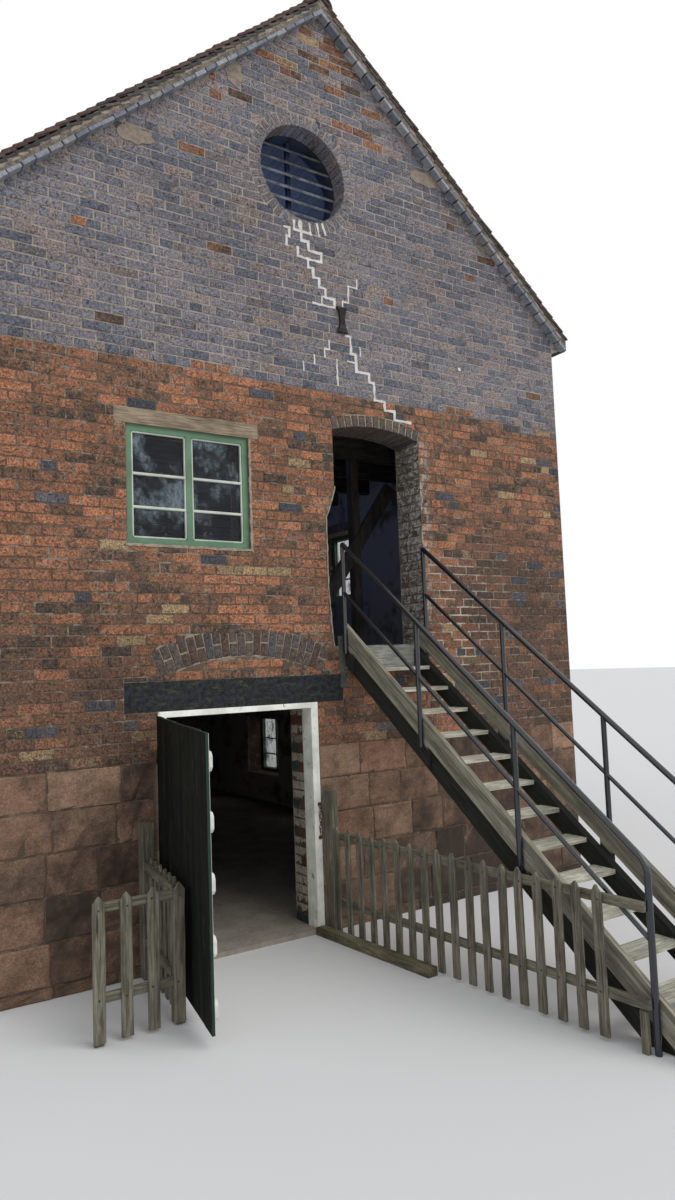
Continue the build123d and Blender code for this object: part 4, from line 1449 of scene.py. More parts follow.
@dataclass
class BrickFace:
    """Lays the bricks of one wall face."""

    face: Plane
    bond: Bond
    seed: int
    soot: Callable[[float, float], float]
    split: Path = ()
    proud: float = 0.005
    thick: float = 0.03

    def edges(self, low: float, high: float, unit: float, shift: float) -> list[float]:
        """Joint lines of one course, with no sliver at either end.

        Args:
            low: its first end.
            high: its last end.
            unit: the distance between joints.
            shift: how far the pattern is moved along.

        Returns:
            The lines, from end to end.
        """
        lines = [low]
        index = math.floor((low - shift) / unit) + 1
        while shift + index * unit < high:
            lines.append(shift + index * unit)
            index += 1
        lines.append(high)
        if len(lines) > 2 and lines[1] - lines[0] < self.bond.shortest:
            del lines[1]
        if len(lines) > 2 and lines[-1] - lines[-2] < self.bond.shortest:
            del lines[-2]
        return lines

    def course_spots(self, ends: Path, z0: float, z1: float, course: int,
                     rng: random.Random) -> list[Spot]:
        """Bricks of one course.

        Args:
            ends: the stretches that it fills.
            z0: its bottom.
            z1: its top.
            course: its number.
            rng: random numbers for its wear.

        Returns:
            The spots.
        """
        bond = self.bond
        headers = course % bond.header_every == bond.header_first
        unit = bond.header if headers else bond.stretcher
        shift = (bond.header / 2 if headers else 0.0) + (bond.header if course % 2 else 0.0)
        shift += rng.uniform(-0.012, 0.012)
        spots = []
        height = z1 - z0 - bond.joint
        for low, high in ends:
            if high - low < 0.03:
                continue
            lines = self.edges(low, high, unit, shift)
            for x, z in self.split:
                if z0 < z < z1 and low + bond.shortest < x < high - bond.shortest:
                    lines = [line for line in lines
                             if abs(line - x) > bond.shortest or line in (low, high)]
                    lines = sorted([*lines, x])
            for a, b in pairwise(lines):
                length = b - a - bond.joint
                if length < 0.015:
                    continue
                along, middle = (a + b) / 2, (z0 + z1) / 2
                out = self.proud - self.thick / 2 + rng.uniform(-0.0025, 0.002)
                place = self.face.place(along, middle + rng.uniform(-0.0015, 0.0015), out)
                turn = (0.0, rng.uniform(-0.004, 0.004), self.face.yaw)
                spots.append(Spot(place, (length, self.thick, height), turn, rng.random(),
                                  self.soot(along, middle)))
        return spots

    def strip_spots(self, box: BoxGap, gaps: Sequence[Gap], low: float, high: float, course: int,
                    rng: random.Random) -> list[Spot]:
        """Cut bricks over and under a rectangle that ends inside a course.

        Args:
            box: the rectangle.
            gaps: everything that the bricks stop at.
            low: the bottom of the course.
            high: its top.
            course: its number.
            rng: random numbers for its wear.

        Returns:
            The spots.
        """
        spots: list[Spot] = []
        for a, b in box.strips(low, high):
            free = [(box.x0, box.x1)]
            for gap in gaps:
                free = cut(free, gap(a, b))
            spots.extend(self.course_spots(free, a, b, course, rng))
        return spots

    def lay(self, z0: float, z1: float, span: Callable[[float, float], Pair],
            gaps: Sequence[Gap]) -> list[Spot]:
        """Bricks between two heights.

        Args:
            z0: the lowest bed.
            z1: where the courses stop.
            span: the ends of the face for one course.
            gaps: what the courses stop at.

        Returns:
            The spots of all bricks.
        """
        rng = random.Random(self.seed)
        spots: list[Spot] = []
        course = 0
        low = z0
        while low < z1 - 0.03:
            high = min(low + self.bond.course, z1)
            start, end = span(low, high)
            free = [(start, end)] if end - start > 0.03 else []
            for gap in gaps:
                free = cut(free, gap(low, high))
            spots.extend(self.course_spots(free, low, high, course, rng))
            for box in gaps:
                if isinstance(box, BoxGap):
                    spots.extend(self.strip_spots(box, gaps, low, high, course, rng))
            low = high
            course += 1
        return spots


COOL_FROM = 4.58
ODD_FROM = 0.95


class SootMap:
    """How dark the bricks are over the faces of the building, which turns cool near its eaves."""

    def __init__(self, seed: int, front: bool) -> None:
        """Starts the map.

        Args:
            seed: the seed of its scatter.
            front: whether it is for the gable front.
        """
        self.rng = random.Random(seed)
        self.front = front

    def __call__(self, along: float, z: float) -> float:
        """Darkness of one brick.

        Args:
            along: its place along the face.
            z: its height.

        Returns:
            A number from 0, orange red, to 1, dark.
        """
        edge = COOL_FROM + (-0.10 if along > 2.35 and self.front else 0.0)
        edge += 0.078 if 0.5 < (along * 0.37) % 1.0 < 0.62 else 0.0
        pick = self.rng.random()
        if z > edge:
            bare = 0.34 if z > 7.35 else 0.15 if z > 6.9 else 0.02
            if pick < bare:
                return self.rng.uniform(0.12, 0.42)
            return self.rng.uniform(0.8, 1.0) if pick < ODD_FROM else 1.07
        dark = 0.08
        if self.front:
            stair_x, stair_z, left_x, left_z = 1.0, 3.7, -1.3, 3.1
            if along > stair_x and z < stair_z:
                dark += (0.34 * min(1.0, (along - stair_x) / 0.7)
                         * min(1.0, (stair_z - z) / 0.6))
            if along < left_x and z < left_z:
                dark += 0.26 * min(1.0, (left_z - z) / 0.7)
            if -0.2 < along < 1.1 and z < 2.2:
                dark += 0.2
        if pick > ODD_FROM:
            return self.rng.uniform(1.08, 1.15)
        return min(0.58, max(0.0, dark + self.rng.uniform(-0.12, 0.22)))


@dataclass(frozen=True)
class Crack:
    """One branch of the limed crack, as points along the front and up."""

    points: Path
    width: float

    def laid(self, first_bed: float, course: float) -> list[Pair]:
        """The branch with its level runs moved to the beds.

        Args:
            first_bed: height of the lowest bed.
            course: height of one course.

        Returns:
            Corner points of level and upright runs.
        """
        def bed(z: float) -> float:
            """The bed that is nearest to a height."""
            return first_bed + round((z - first_bed) / course) * course

        corners = [(self.points[0][0], bed(self.points[0][1]))]
        for (x0, z0), (x1, z1) in pairwise(self.points):
            x, z = corners[-1]
            if abs(z1 - z0) >= abs(x1 - x0):
                corners.append((x, bed(z1)))
            else:
                corners.append((x1, z))
        return corners

    def uprights(self, first_bed: float, course: float) -> list[Pair]:
        """Middles of the brick ends that the branch runs along, one for each course.

        Args:
            first_bed: height of the lowest bed.
            course: height of one course.

        Returns:
            The middles.
        """
        found = []
        for (x0, z0), (x1, z1) in pairwise(self.laid(first_bed, course)):
            if x0 == x1:
                count, low = round(abs(z1 - z0) / course), min(z0, z1)
                found += [(x0, low + (k + 0.5) * course) for k in range(count)]
        return found


CRACKS = (
    Crack(((-0.25, 6.03), (-0.25, 5.86), (-0.18, 5.86), (-0.18, 5.78), (-0.05, 5.78),
           (-0.05, 5.71), (-0.19, 5.71), (-0.19, 5.63), (-0.14, 5.63), (-0.14, 5.55),
           (-0.085, 5.55), (-0.085, 5.475), (-0.02, 5.475), (-0.02, 5.40), (0.07, 5.40),
           (0.07, 5.32)), 0.024),
    Crack(((0.18, 5.11), (0.23, 5.11), (0.23, 4.945), (0.28, 4.945), (0.28, 4.785), (0.42, 4.785),
           (0.42, 4.70), (0.47, 4.70), (0.47, 4.56), (0.58, 4.56), (0.58, 4.483), (0.69, 4.483),
           (0.69, 4.41), (0.875, 4.41)), 0.024),
    Crack(((-0.42, 5.93), (-0.37, 5.93), (-0.37, 5.85), (-0.40, 5.85), (-0.40, 5.77)), 0.022),
    Crack(((-0.32, 6.03), (-0.32, 5.94), (-0.16, 5.94)), 0.022),
    Crack(((-0.29, 5.766), (-0.29, 5.70), (-0.19, 5.70)), 0.022),
    Crack(((-0.154, 5.32), (0.077, 5.32)), 0.022),
    Crack(((-0.06, 5.32), (-0.06, 5.40), (-0.02, 5.40)), 0.016),
    Crack(((0.158, 5.34), (0.158, 5.41), (0.225, 5.41), (0.225, 5.56), (0.32, 5.56),
           (0.32, 5.635)), 0.016),
    Crack(((0.0, 5.03), (0.0, 4.94), (-0.05, 4.94), (-0.05, 4.86)), 0.016),
    Crack(((-0.16, 4.86), (-0.16, 4.78)), 0.016),
    Crack(((-0.273, 4.785), (-0.273, 4.71)), 0.014),
    Crack(((0.075, 4.86), (0.075, 4.63)), 0.018),
    Crack(((0.33, 5.03), (0.33, 4.95)), 0.014),
    Crack(((0.19, 4.86), (0.285, 4.86)), 0.014),
)
WORN_EDGE = ((2.336, -0.066), (2.796, -0.100), (3.436, -0.100), (3.596, -0.035), (3.716, 0.0))
WORN_DEPTH = 0.110
LEAF_RECESS_TOP = 3.506


def worn_left(z: float) -> float:
    """Left edge of the upper doorway, where the front of its jamb is broken off.

    Args:
        z: the height.

    Returns:
        The edge there.
    """
    for (z0, x0), (z1, x1) in pairwise(WORN_EDGE):
        if z0 <= z <= z1:
            return x0 + (x1 - x0) * (z - z0) / (z1 - z0)
    return 0.0


def worn_gap(low: float, high: float) -> Pair | None:
    """What the broken jamb takes from one course.

    Args:
        low: its bottom.
        high: its top.

    Returns:
        The blocked part, if there is one.
    """
    edge = min(worn_left(low), worn_left((low + high) / 2), worn_left(high))
    return (edge - 0.004 + 0.007 * math.sin(210.0 * low), 0.01) if edge < -0.01 else None


@dataclass(frozen=True)
class Openings:
    """Where the windows are: half widths and heights of opening and lintel, and their places."""

    half: float = 0.5125
    lintel_half: float = 0.6025
    height: float = 0.916
    lintel_height: float = 0.125
    sills: Pair = (0.469, 3.130)
    front_x: float = -1.338
    side_y: Pair = (-0.72, 1.70)


OPENINGS = Openings()


@dataclass
class Masonry:
    """All the brickwork and stonework that shows on the outside."""

    sizes: MillSizes
    bond: Bond = field(default_factory=Bond)
    ground_arch: Arch = Arch(-0.903, 2.115, 0.701, 0.152, 0.228)
    upper_arch: Arch = Arch(0.475, 4.230, 0.475, 0.070, 0.108)
    vent: Rect = (-0.200, 6.500, 0.435, 0.112)
    vent_reveal: float = 0.175
    openings: Openings = OPENINGS
    brick: Triple = (0.2195, 0.03, 0.068)
    ring_brick: Triple = (0.070, 0.23, 0.105)
    worn: float = 0.0042
    uneven: float = 0.0022
    door: Pair = (-1.640, -0.246)
    lintel: Rect = (-1.896, 0.015, 1.872, 2.096)
    pintle_room: float = 0.040

    def bricks(self, count: int, cells: tuple[int, int]) -> list[bpy.types.Mesh]:
        """Brick templates.

        Args:
            count: how many.
            cells: how many cells the face of each has along and up.

        Returns:
            The templates.
        """
        return [rough_block(f"brick_{k}", self.brick, cells, self.worn, self.uneven, 40 + k, 0.95)
                for k in range(count)]

    def gable_span(self, low: float, high: float) -> Pair:
        """Ends of one course of a gable wall."""
        reach = min(self.sizes.half, (self.sizes.apex - high) / self.sizes.slope)
        return (-reach, reach)

    def window_gaps(self, middle: float, sill: float) -> list[Gap]:
        """Gaps of one window and its lintel.

        Args:
            middle: its middle along the face.
            sill: the height of its sill.

        Returns:
            The two gaps.
        """
        given = self.openings
        top = sill + given.height
        return [BoxGap(middle - given.half, middle + given.half, sill, top),
                BoxGap(middle - given.lintel_half, middle + given.lintel_half, top,
                       top + given.lintel_height)]

    def front_gaps(self) -> list[Gap]:
        """Everything that the front's courses stop at.

        Returns:
            The gaps.
        """
        upper_low = box_of("upper_door_sill")[0].z
        vent_x, vent_z, vent_r, vent_ring = self.vent
        return [
            BoxGap(self.door[0], self.door[1], 0.0, self.lintel[2]),
            BoxGap(*self.lintel),
            self.ground_arch.gap(),
            BoxGap(0.0, 0.95, upper_low, self.upper_arch.spring),
            worn_gap,
            self.upper_arch.gap(),
            *self.window_gaps(self.openings.front_x, self.openings.sills[1]),
            round_gap(vent_x, vent_z, vent_r + vent_ring),
        ]

    def lay_front(self) -> None:
        """Bricks of the gable front."""
        split = [end for crack in CRACKS
                 for end in crack.uprights(self.sizes.base_top, self.bond.course)]
        laying = BrickFace(FRONT_FACE, self.bond, 11, SootMap(5, True), split)
        spots = laying.lay(self.sizes.base_top, self.sizes.apex, self.gable_span,
                           self.front_gaps())
        scatter("front_bricks", spots, self.bricks(9, (5, 3)), FRONT_BRICK, 3)

    def lay_infill(self) -> None:
        """Bricks between the lintel and the relieving arch."""
        arch = self.ground_arch
        rng = random.Random(8)
        spots: list[Spot] = []
        laying = BrickFace(FRONT_FACE, self.bond, 12, lambda a, z: 0.05)
        low = self.lintel[3]
        for course, high in enumerate((low + 0.075, low + 0.148)):
            half = arch.half_at(high - 0.012, False)
            if low < arch.spring + 0.02:
                half = arch.half
            ends = [(arch.x - half, arch.x + half)]
            spots.extend(laying.course_spots(ends, low, high, course + 1, rng))
            low = high
        scatter("arch_infill_bricks", spots, self.bricks(5, (5, 3)), WALL_BRICK, 5)

    def lay_arches(self) -> None:
        """Rings of the relieving arch, the upper doorway and the vents."""
        rng = random.Random(21)
        deep = [rough_block(f"deep_brick_{k}", self.ring_brick, (3, 3), self.worn, self.uneven,
                            140 + k) for k in range(6)]
        spots = self.ground_arch.ring_spots(FRONT_FACE, 22, 0.0095, rng, 0.75, True)
        scatter("arch_bricks", spots, self.bricks(6, (3, 4)), ARCH_BRICK, 6)
        depth = self.sizes.wall - 0.010
        spots = self.upper_arch.ring_spots(FRONT_FACE, 13, 0.012, rng, 0.9, False, depth)
        scatter("upper_arch_bricks", spots, deep, ARCH_BRICK, 8)
        x, z, radius, ring = self.vent
        depth, count, joint, proud = self.vent_reveal, 44, 0.0085, 0.005
        reach = radius + ring / 2 - RING_UNDER
        size = (2 * math.pi * (radius + 0.3 * ring) / count - joint, depth, ring)
        spots = []
        for face, middle in ((FRONT_FACE, x), (BACK_FACE, -x)):
            for index in range(count):
                angle = 2 * math.pi * index / count
                place = face.place(middle + reach * math.sin(angle), z + reach * math.cos(angle),
                                   proud - depth / 2)
                spots.append(Spot(place, size, (0.0, angle, face.yaw), rng.random(),
                                  rng.uniform(0.7, 1.0)))
        scatter("vent_ring_bricks", spots, deep, VENT_BRICK, 7)

    def side_gaps(self, sign: int, sill: float) -> list[Gap]:
        """Gaps of the windows of one storey of a long wall, with -1 for the left wall."""
        return [gap for y in self.openings.side_y for gap in self.window_gaps(sign * y, sill)]

    def lay_sides(self) -> None:
        """Bricks of the long walls and the back."""
        templates = self.bricks(6, (4, 2))
        depth, sill = self.sizes.back, self.openings.sills[1]
        for name, face, seed, sign in (("left_bricks", LEFT_FACE, 31, -1),
                                       ("right_bricks", RIGHT_FACE, 32, 1)):
            laying = BrickFace(face, self.bond, seed, SootMap(seed, False))
            spots = laying.lay(self.sizes.base_top, self.sizes.eave - 0.02,
                               lambda a, b: (-depth, depth), self.side_gaps(sign, sill))
            scatter(name, spots, templates, WALL_BRICK, seed)
        vent_x, vent_z, vent_r, vent_ring = self.vent
        gaps = [*self.window_gaps(0.0, sill), round_gap(-vent_x, vent_z, vent_r + vent_ring)]
        laying = BrickFace(BACK_FACE, self.bond, 33, SootMap(33, False))
        spots = laying.lay(self.sizes.base_top, self.sizes.apex, self.gable_span, gaps)
        scatter("back_bricks", spots, templates, WALL_BRICK, 33)

    def lay_reveals(self) -> None:
        """Bricks of the door reveals."""
        floor = box_of("timber_floors")[0].z + 0.03
        front, wall, course = self.sizes.front, self.sizes.wall, self.bond.course
        worn_top = WORN_EDGE[-1][0]
        rng = random.Random(50)
        spots: list[Spot] = []

        def stained(along: float, z: float) -> float:
            """Soot of one brick of the reveals."""
            return rng.random() * 0.6

        right = BrickFace(Plane(0.95, front, -math.pi / 2), self.bond, 51, stained)
        spots += right.lay(floor, self.upper_arch.spring, lambda a, b: (-wall, 0.0), [])
        left = BrickFace(Plane(0.0, front, math.pi / 2), self.bond, 55, stained)
        spots += left.lay(worn_top, self.upper_arch.spring, lambda a, b: (0.0, wall), [])
        spots += left.lay(LEAF_RECESS_TOP, worn_top, lambda a, b: (WORN_DEPTH, wall), [])
        for row in range(int((worn_top - floor) / course)):
            low = floor + row * course
            face = Plane(worn_left(low + course / 2), front, math.pi / 2)
            broken = BrickFace(face, self.bond, 56 + row, stained)
            spots += broken.course_spots([(0.006, WORN_DEPTH)], low, low + course, row, rng)
        scatter("upper_reveal_bricks", spots, self.bricks(5, (4, 2)), REVEAL_BRICK, 52)
        spots = []
        low_end, high_end = box_of("door_frame_head")
        depth = high_end.y - front
        for face in (Plane(high_end.x, front, -math.pi / 2), Plane(low_end.x, front, math.pi / 2)):
            ends = (-wall, -depth) if face.yaw < 0 else (depth, wall)
            laying = BrickFace(face, self.bond, 53, lambda a, z: 0.0)
            spots += laying.lay(0.04, self.lintel[2], lambda a, b, e=ends: e, [])
        scatter("door_reveal_bricks", spots, self.bricks(5, (4, 2)), PAINTED_BRICK, 54)

    def lay_stones(self) -> None:
        """Blocks of the stone base all round."""
        courses = (0.0, 0.080, 0.370, 0.665, 0.958, 1.241, self.sizes.base_top)
        templates = [rough_block(f"stone_{k}", (0.45, 0.05, 0.29), (7, 5), 0.013, 0.015, 70 + k)
                     for k in range(8)]
        half, back, sill = self.sizes.half, self.sizes.back, self.openings.sills[0]
        doorway = BoxGap(self.door[0] - self.pintle_room, self.door[1], 0.0, self.lintel[2])
        rows = (
            ("front_stones", FRONT_FACE, half, [doorway], 61),
            ("left_stones", LEFT_FACE, back, self.side_gaps(-1, sill), 62),
            ("right_stones", RIGHT_FACE, back, self.side_gaps(1, sill), 63),
            ("back_stones", BACK_FACE, half, self.window_gaps(0.0, sill), 64),
        )
        for name, face, reach, gaps, seed in rows:
            rng = random.Random(seed)
            spots: list[Spot] = []
            for low, high in pairwise(courses):
                free = [(-reach, reach)]
                for gap in gaps:
                    free = cut(free, gap(low, high))
                for start, end in free:
                    stained = name == "front_stones" and end < 0.0
                    spots.extend(self._stone_row(face, start, end, low, high, rng, stained))
            scatter(name, spots, templates, BASE_STONE, seed)

    @staticmethod
    def _stone_row(face: Plane, start: float, end: float, low: float, high: float,
                   rng: random.Random, stained: bool) -> list[Spot]:
        """Blocks of one course between two ends.

        Args:
            face: the face that they are on.
            start: the first end.
            end: the last end.
            low: the bottom of the course.
            high: its top.
            rng: random numbers for lengths and tones.
            stained: whether the blocks are sooty all over.

        Returns:
            The spots.
        """
        longest, joint, depth, proud = 0.62, 0.006, 0.05, 0.014
        lines = [start]
        while end - lines[-1] > longest:
            lines.append(lines[-1] + rng.uniform(0.33, 0.54))
        if end - lines[-1] > 0.52:
            lines.append((lines[-1] + end) / 2)
        lines.append(end)
        spots = []
        for a, b in pairwise(lines):
            if b - a < 0.04:
                continue
            place = face.place((a + b) / 2, (low + high) / 2,
                               proud - depth / 2 + rng.uniform(-0.002, 0.002))
            soot = rng.uniform(0.20, 0.68) if stained else rng.uniform(0.0, 0.22)
            if face is FRONT_FACE and not stained:
                soot += (0.48 * min(1.0, max(0.0, a / 0.7))
                         - 0.2 * min(1.0, max(0.0, (a - 1.5) / 0.8)))
                soot += 0.25 * min(1.0, max(0.0, 0.8 - low))
            spots.append(Spot(place, (b - a - joint, depth, high - low - joint),
                              (0.0, 0.0, face.yaw), rng.random(), soot))
        return spots

    def dress(self) -> None:
        """Gives the CAD masonry its mortar."""
        for node in ("front_wall_left", "front_wall_middle", "front_wall_under_door",
                     "front_wall_over_door", "front_wall_right", "front_gable", "arch_infill",
                     "left_wall", "right_wall", "back_wall", "eaves_kneelers"):
            paint_node(node, JOINTS)
        paint_node("brick_arches", ARCH_JOINTS)
        paint_node("vent_rings", RingFinish("vent_ring_mortar", self.sizes.back))
        for node in ("front_base", "side_bases", "back_base"):
            paint_node(node, STONE_JOINTS)

    def build(self) -> None:
        """Lays and dresses everything."""
        self.lay_front()
        self.lay_infill()
        self.lay_arches()
        self.lay_sides()
        self.lay_reveals()
        self.lay_stones()
        self.dress()


def paint_node(node: str, finish: Finish) -> None:
    """Gives a CAD node a finish.

    Args:
        node: the node's name.
        finish: the finish.
    """
    mesh = frame["nodes"][node].data
    mesh.materials.clear()
    mesh.materials.append(PAINTS.get(finish))


# Roof


@dataclass
class Roof:
    """Tiles, ridge and edges of the roof."""

    sizes: MillSizes
    gauge: float = 0.100
    tile_width: float = 0.165
    tile_length: float = 0.205
    tile_thick: float = 0.018
    tile_gap: float = 0.003
    tile_lean: float = 0.115
    cloak_thick: float = 0.030
    cloak_length: float = 0.128

    def tile(self, seed: int) -> bpy.types.Mesh:
        """A plain tile of unit size, cambered a little, with its tail towards -Y.

        Args:
            seed: the seed of its wear.

        Returns:
            The template.
        """
        rng = random.Random(seed)
        shape = bmesh.new()
        cols = []
        for i in range(4):
            x = i / 3 - 0.5
            sag = 0.22 * (1 - (2 * x) ** 2)
            tail = rng.uniform(-0.02, 0.02)
            cols.append([
                shape.verts.new((x, -0.5 + tail, sag - 0.5)),
                shape.verts.new((x, -0.5 + tail, sag + 0.5)),
                shape.verts.new((x, 0.5, sag + 0.5)),
                shape.verts.new((x, 0.5, sag - 0.5)),
            ])
        for left, right in pairwise(cols):
            for k in range(4):
                shape.faces.new((left[k], right[k], right[(k + 1) % 4], left[(k + 1) % 4]))
        shape.faces.new(cols[0])
        shape.faces.new(cols[-1][::-1])
        return settle_closed("tile", shape)

    def lay(self) -> None:
        """Lays the tiles of both slopes."""
        pitch = math.atan(self.sizes.slope)
        cos, sin = math.cos(pitch), math.sin(pitch)
        overlap, clear, narrowest = 0.015, 0.004, 0.03
        lift = clear + self.tile_thick + clear
        templates = [self.tile(80 + k) for k in range(6)]
        for name, side in (("left_tiles", -1), ("right_tiles", 1)):
            low, high = box_of("roof_slope_left" if side < 0 else "roof_slope_right")
            rng = random.Random(90 + side)
            eave_x = side * max(abs(low.x), abs(high.x))
            eave_z = high.z - (high.x - low.x) * self.sizes.slope
            length = (high.x - low.x) / cos
            spots: list[Spot] = []
            rows = int((length - 0.06) / self.gauge)
            for row in range(rows + 1):
                middle = row * self.gauge - overlap + self.tile_length / 2
                x = eave_x - side * (middle * cos - lift * sin)
                z = eave_z + middle * sin + lift * cos
                y = low.y - rng.uniform(0.0, 0.012)
                first = low.y + self.tile_width * (1.5 if row % 2 else 1.0)
                far = high.y + rng.uniform(0.0, 0.012)
                while y < high.y - 0.02:
                    end = min(first, far) if far - first > 0.06 else far
                    first += self.tile_width
                    width = end - y - self.tile_gap
                    if width > narrowest:
                        tilt = pitch - self.tile_lean + rng.uniform(-0.02, 0.02)
                        place = Vector((x, (y + end) / 2, z + rng.uniform(-0.003, 0.004)))
                        spots.append(Spot(place, (width, self.tile_length, self.tile_thick),
                                          (tilt, 0.0, side * math.pi / 2), rng.random()))
                    y = end
            scatter(name, spots, templates, ROOF_TILE, 91)

    @staticmethod
    def ridge_template() -> bpy.types.Mesh:
        """One half-round ridge tile of real size along Y.

        Returns:
            The template.
        """
        shape = bmesh.new()
        outer, inner = 0.130, 0.114
        angles = [math.pi * (k / 12.0) * 0.94 + math.pi * 0.03 for k in range(13)]
        rings = []
        for y in (-0.225, 0.222):
            for radius in (outer, inner):
                rings.append([shape.verts.new((radius * math.cos(a), y, radius * math.sin(a)))
                              for a in angles])
        near_out, near_in, far_out, far_in = rings
        for k in range(12):
            shape.faces.new((near_out[k], near_out[k + 1], far_out[k + 1], far_out[k]))
            shape.faces.new((near_in[k + 1], near_in[k], far_in[k], far_in[k + 1]))
            shape.faces.new((near_out[k + 1], near_out[k], near_in[k], near_in[k + 1]))
            shape.faces.new((far_out[k], far_out[k + 1], far_in[k + 1], far_in[k]))
        for k in (0, 12):
            shape.faces.new((near_out[k], far_out[k], far_in[k], near_in[k]))
        return settle_closed("ridge_tile", shape)

    def lay_ridge(self) -> None:
        """Ridge tiles along the top."""
        low, high = box_of("ridge_tiles")
        rng = random.Random(95)
        spots = []
        usual, drop = 0.456, 0.131
        count = int((high.y - low.y) / usual)
        pitch = (high.y - low.y) / count
        for index in range(count):
            y = low.y + (index + 0.5) * pitch
            place = Vector((rng.uniform(-0.003, 0.003), y, high.z - drop))
            turn = (0.0, rng.uniform(-0.02, 0.02), 0.0)
            spots.append(Spot(place, (1.0, pitch / usual, 1.0), turn, rng.random()))
        ridge = scatter("ridge_row", spots, [self.ridge_template()], ROOF_TILE, 96)
        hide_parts("ridge_tiles")

    def lay_undercloak(self) -> None:
        """The row of plain tiles, laid flat under the overhanging edge of each slope."""
        pitch = math.atan(self.sizes.slope)
        cos, sin = math.cos(pitch), math.sin(pitch)
        low, high = box_of("roof_verges")
        reach, out = high.x / cos, self.sizes.front - low.y
        count = round(reach / self.cloak_length)
        unit = reach / count
        nominal = (unit, out, self.cloak_thick)
        templates = [rough_block(f"undercloak_{k}", nominal, (3, 1), 0.003, 0.002, 200 + k)
                     for k in range(5)]
        rng = random.Random(97)
        spots: list[Spot] = []
        for y, turn in ((low.y + out / 2, 0.0), (high.y - out / 2, math.pi)):
            for side in (-1, 1):
                for index in range(count):
                    run = (index + 0.5) * unit
                    x = side * run * cos - side * sin * self.cloak_thick / 2
                    z = self.sizes.apex - run * sin - cos * self.cloak_thick / 2
                    lean = side * (pitch + rng.uniform(-0.03, 0.03)) * (1 if turn == 0.0 else -1)
                    depth = out + rng.uniform(-0.016, 0.004)
                    place = Vector((x, y, z + rng.uniform(-0.004, 0.001)))
                    length = unit - rng.uniform(0.005, 0.016)
                    thick = self.cloak_thick * rng.uniform(0.85, 1.25)
                    spots.append(Spot(place, (length, depth, thick), (0.0, lean, turn),
                                      rng.random()))
        row = scatter("verge_undercloak", spots, templates, VERGE_TILE, 98)
        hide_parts("roof_verges")

    def lay_bedding(self) -> None:
        """Lumps of mortar in the ends of the slopes, and the tile ends bedded in their tops."""
        pitch = math.atan(self.sizes.slope)
        cos, sin = math.cos(pitch), math.sin(pitch)
        low, high = box_of("roof_slope_right")
        thick, length = (high.z - self.sizes.apex) * cos, (high.x - low.x) / cos
        lump = (self.gauge * 1.15, 0.030, thick * 0.58)
        slip = (self.gauge * 1.35, 0.034, 0.020)
        lumps = [rough_block(f"bedding_{k}", lump, (3, 2), 0.012, 0.009, 220 + k, 0.9)
                 for k in range(5)]
        slips = [rough_block(f"tile_end_{k}", slip, (3, 1), 0.003, 0.002, 230 + k, 0.9)
                 for k in range(4)]
        rng = random.Random(99)
        beds: list[Spot] = []
        ends: list[Spot] = []
        for face, turn in ((low.y, 0.0), (high.y, math.pi)):
            out = 1 if turn == 0.0 else -1
            for side in (-1, 1):
                for index in range(1, int(length / self.gauge)):
                    run = (index + rng.uniform(-0.1, 0.1)) * self.gauge
                    for spots, share, size, tilt in ((beds, 0.47, lump, 0.13),
                                                     (ends, 0.86, slip, 0.15)):
                        x = side * (run * cos + share * thick * sin)
                        z = self.sizes.apex - run * sin + share * thick * cos
                        proud = rng.uniform(0.001, 0.009) + (0.006 if spots is ends else 0.0)
                        y = face + out * (size[1] / 2 - proud)
                        lean = side * (pitch - tilt + rng.uniform(-0.05, 0.05)) * out
                        scale = (size[0] * rng.uniform(0.85, 1.1), size[1],
                                 size[2] * rng.uniform(0.8, 1.15))
                        spots.append(Spot(Vector((x, y, z)), scale, (0.0, lean, turn),
                                          rng.random()))
        scatter("verge_bedding", beds, lumps, VERGE_BED, 99)
        scatter("verge_tile_ends", ends, slips, TILE_END, 100)

    def build(self) -> None:
        """Builds and dresses the roof."""
        self.lay()
        self.lay_ridge()
        self.lay_undercloak()
        self.lay_bedding()
        verge_y = box_of("roof_slope_left")[1].y
        for node in ("roof_slope_left", "roof_slope_right"):
            paint_node(node, SlopeFinish("slope_boards", verge_y))
        paint_node("eaves_gutters", BLACK_IRON)


# Openings


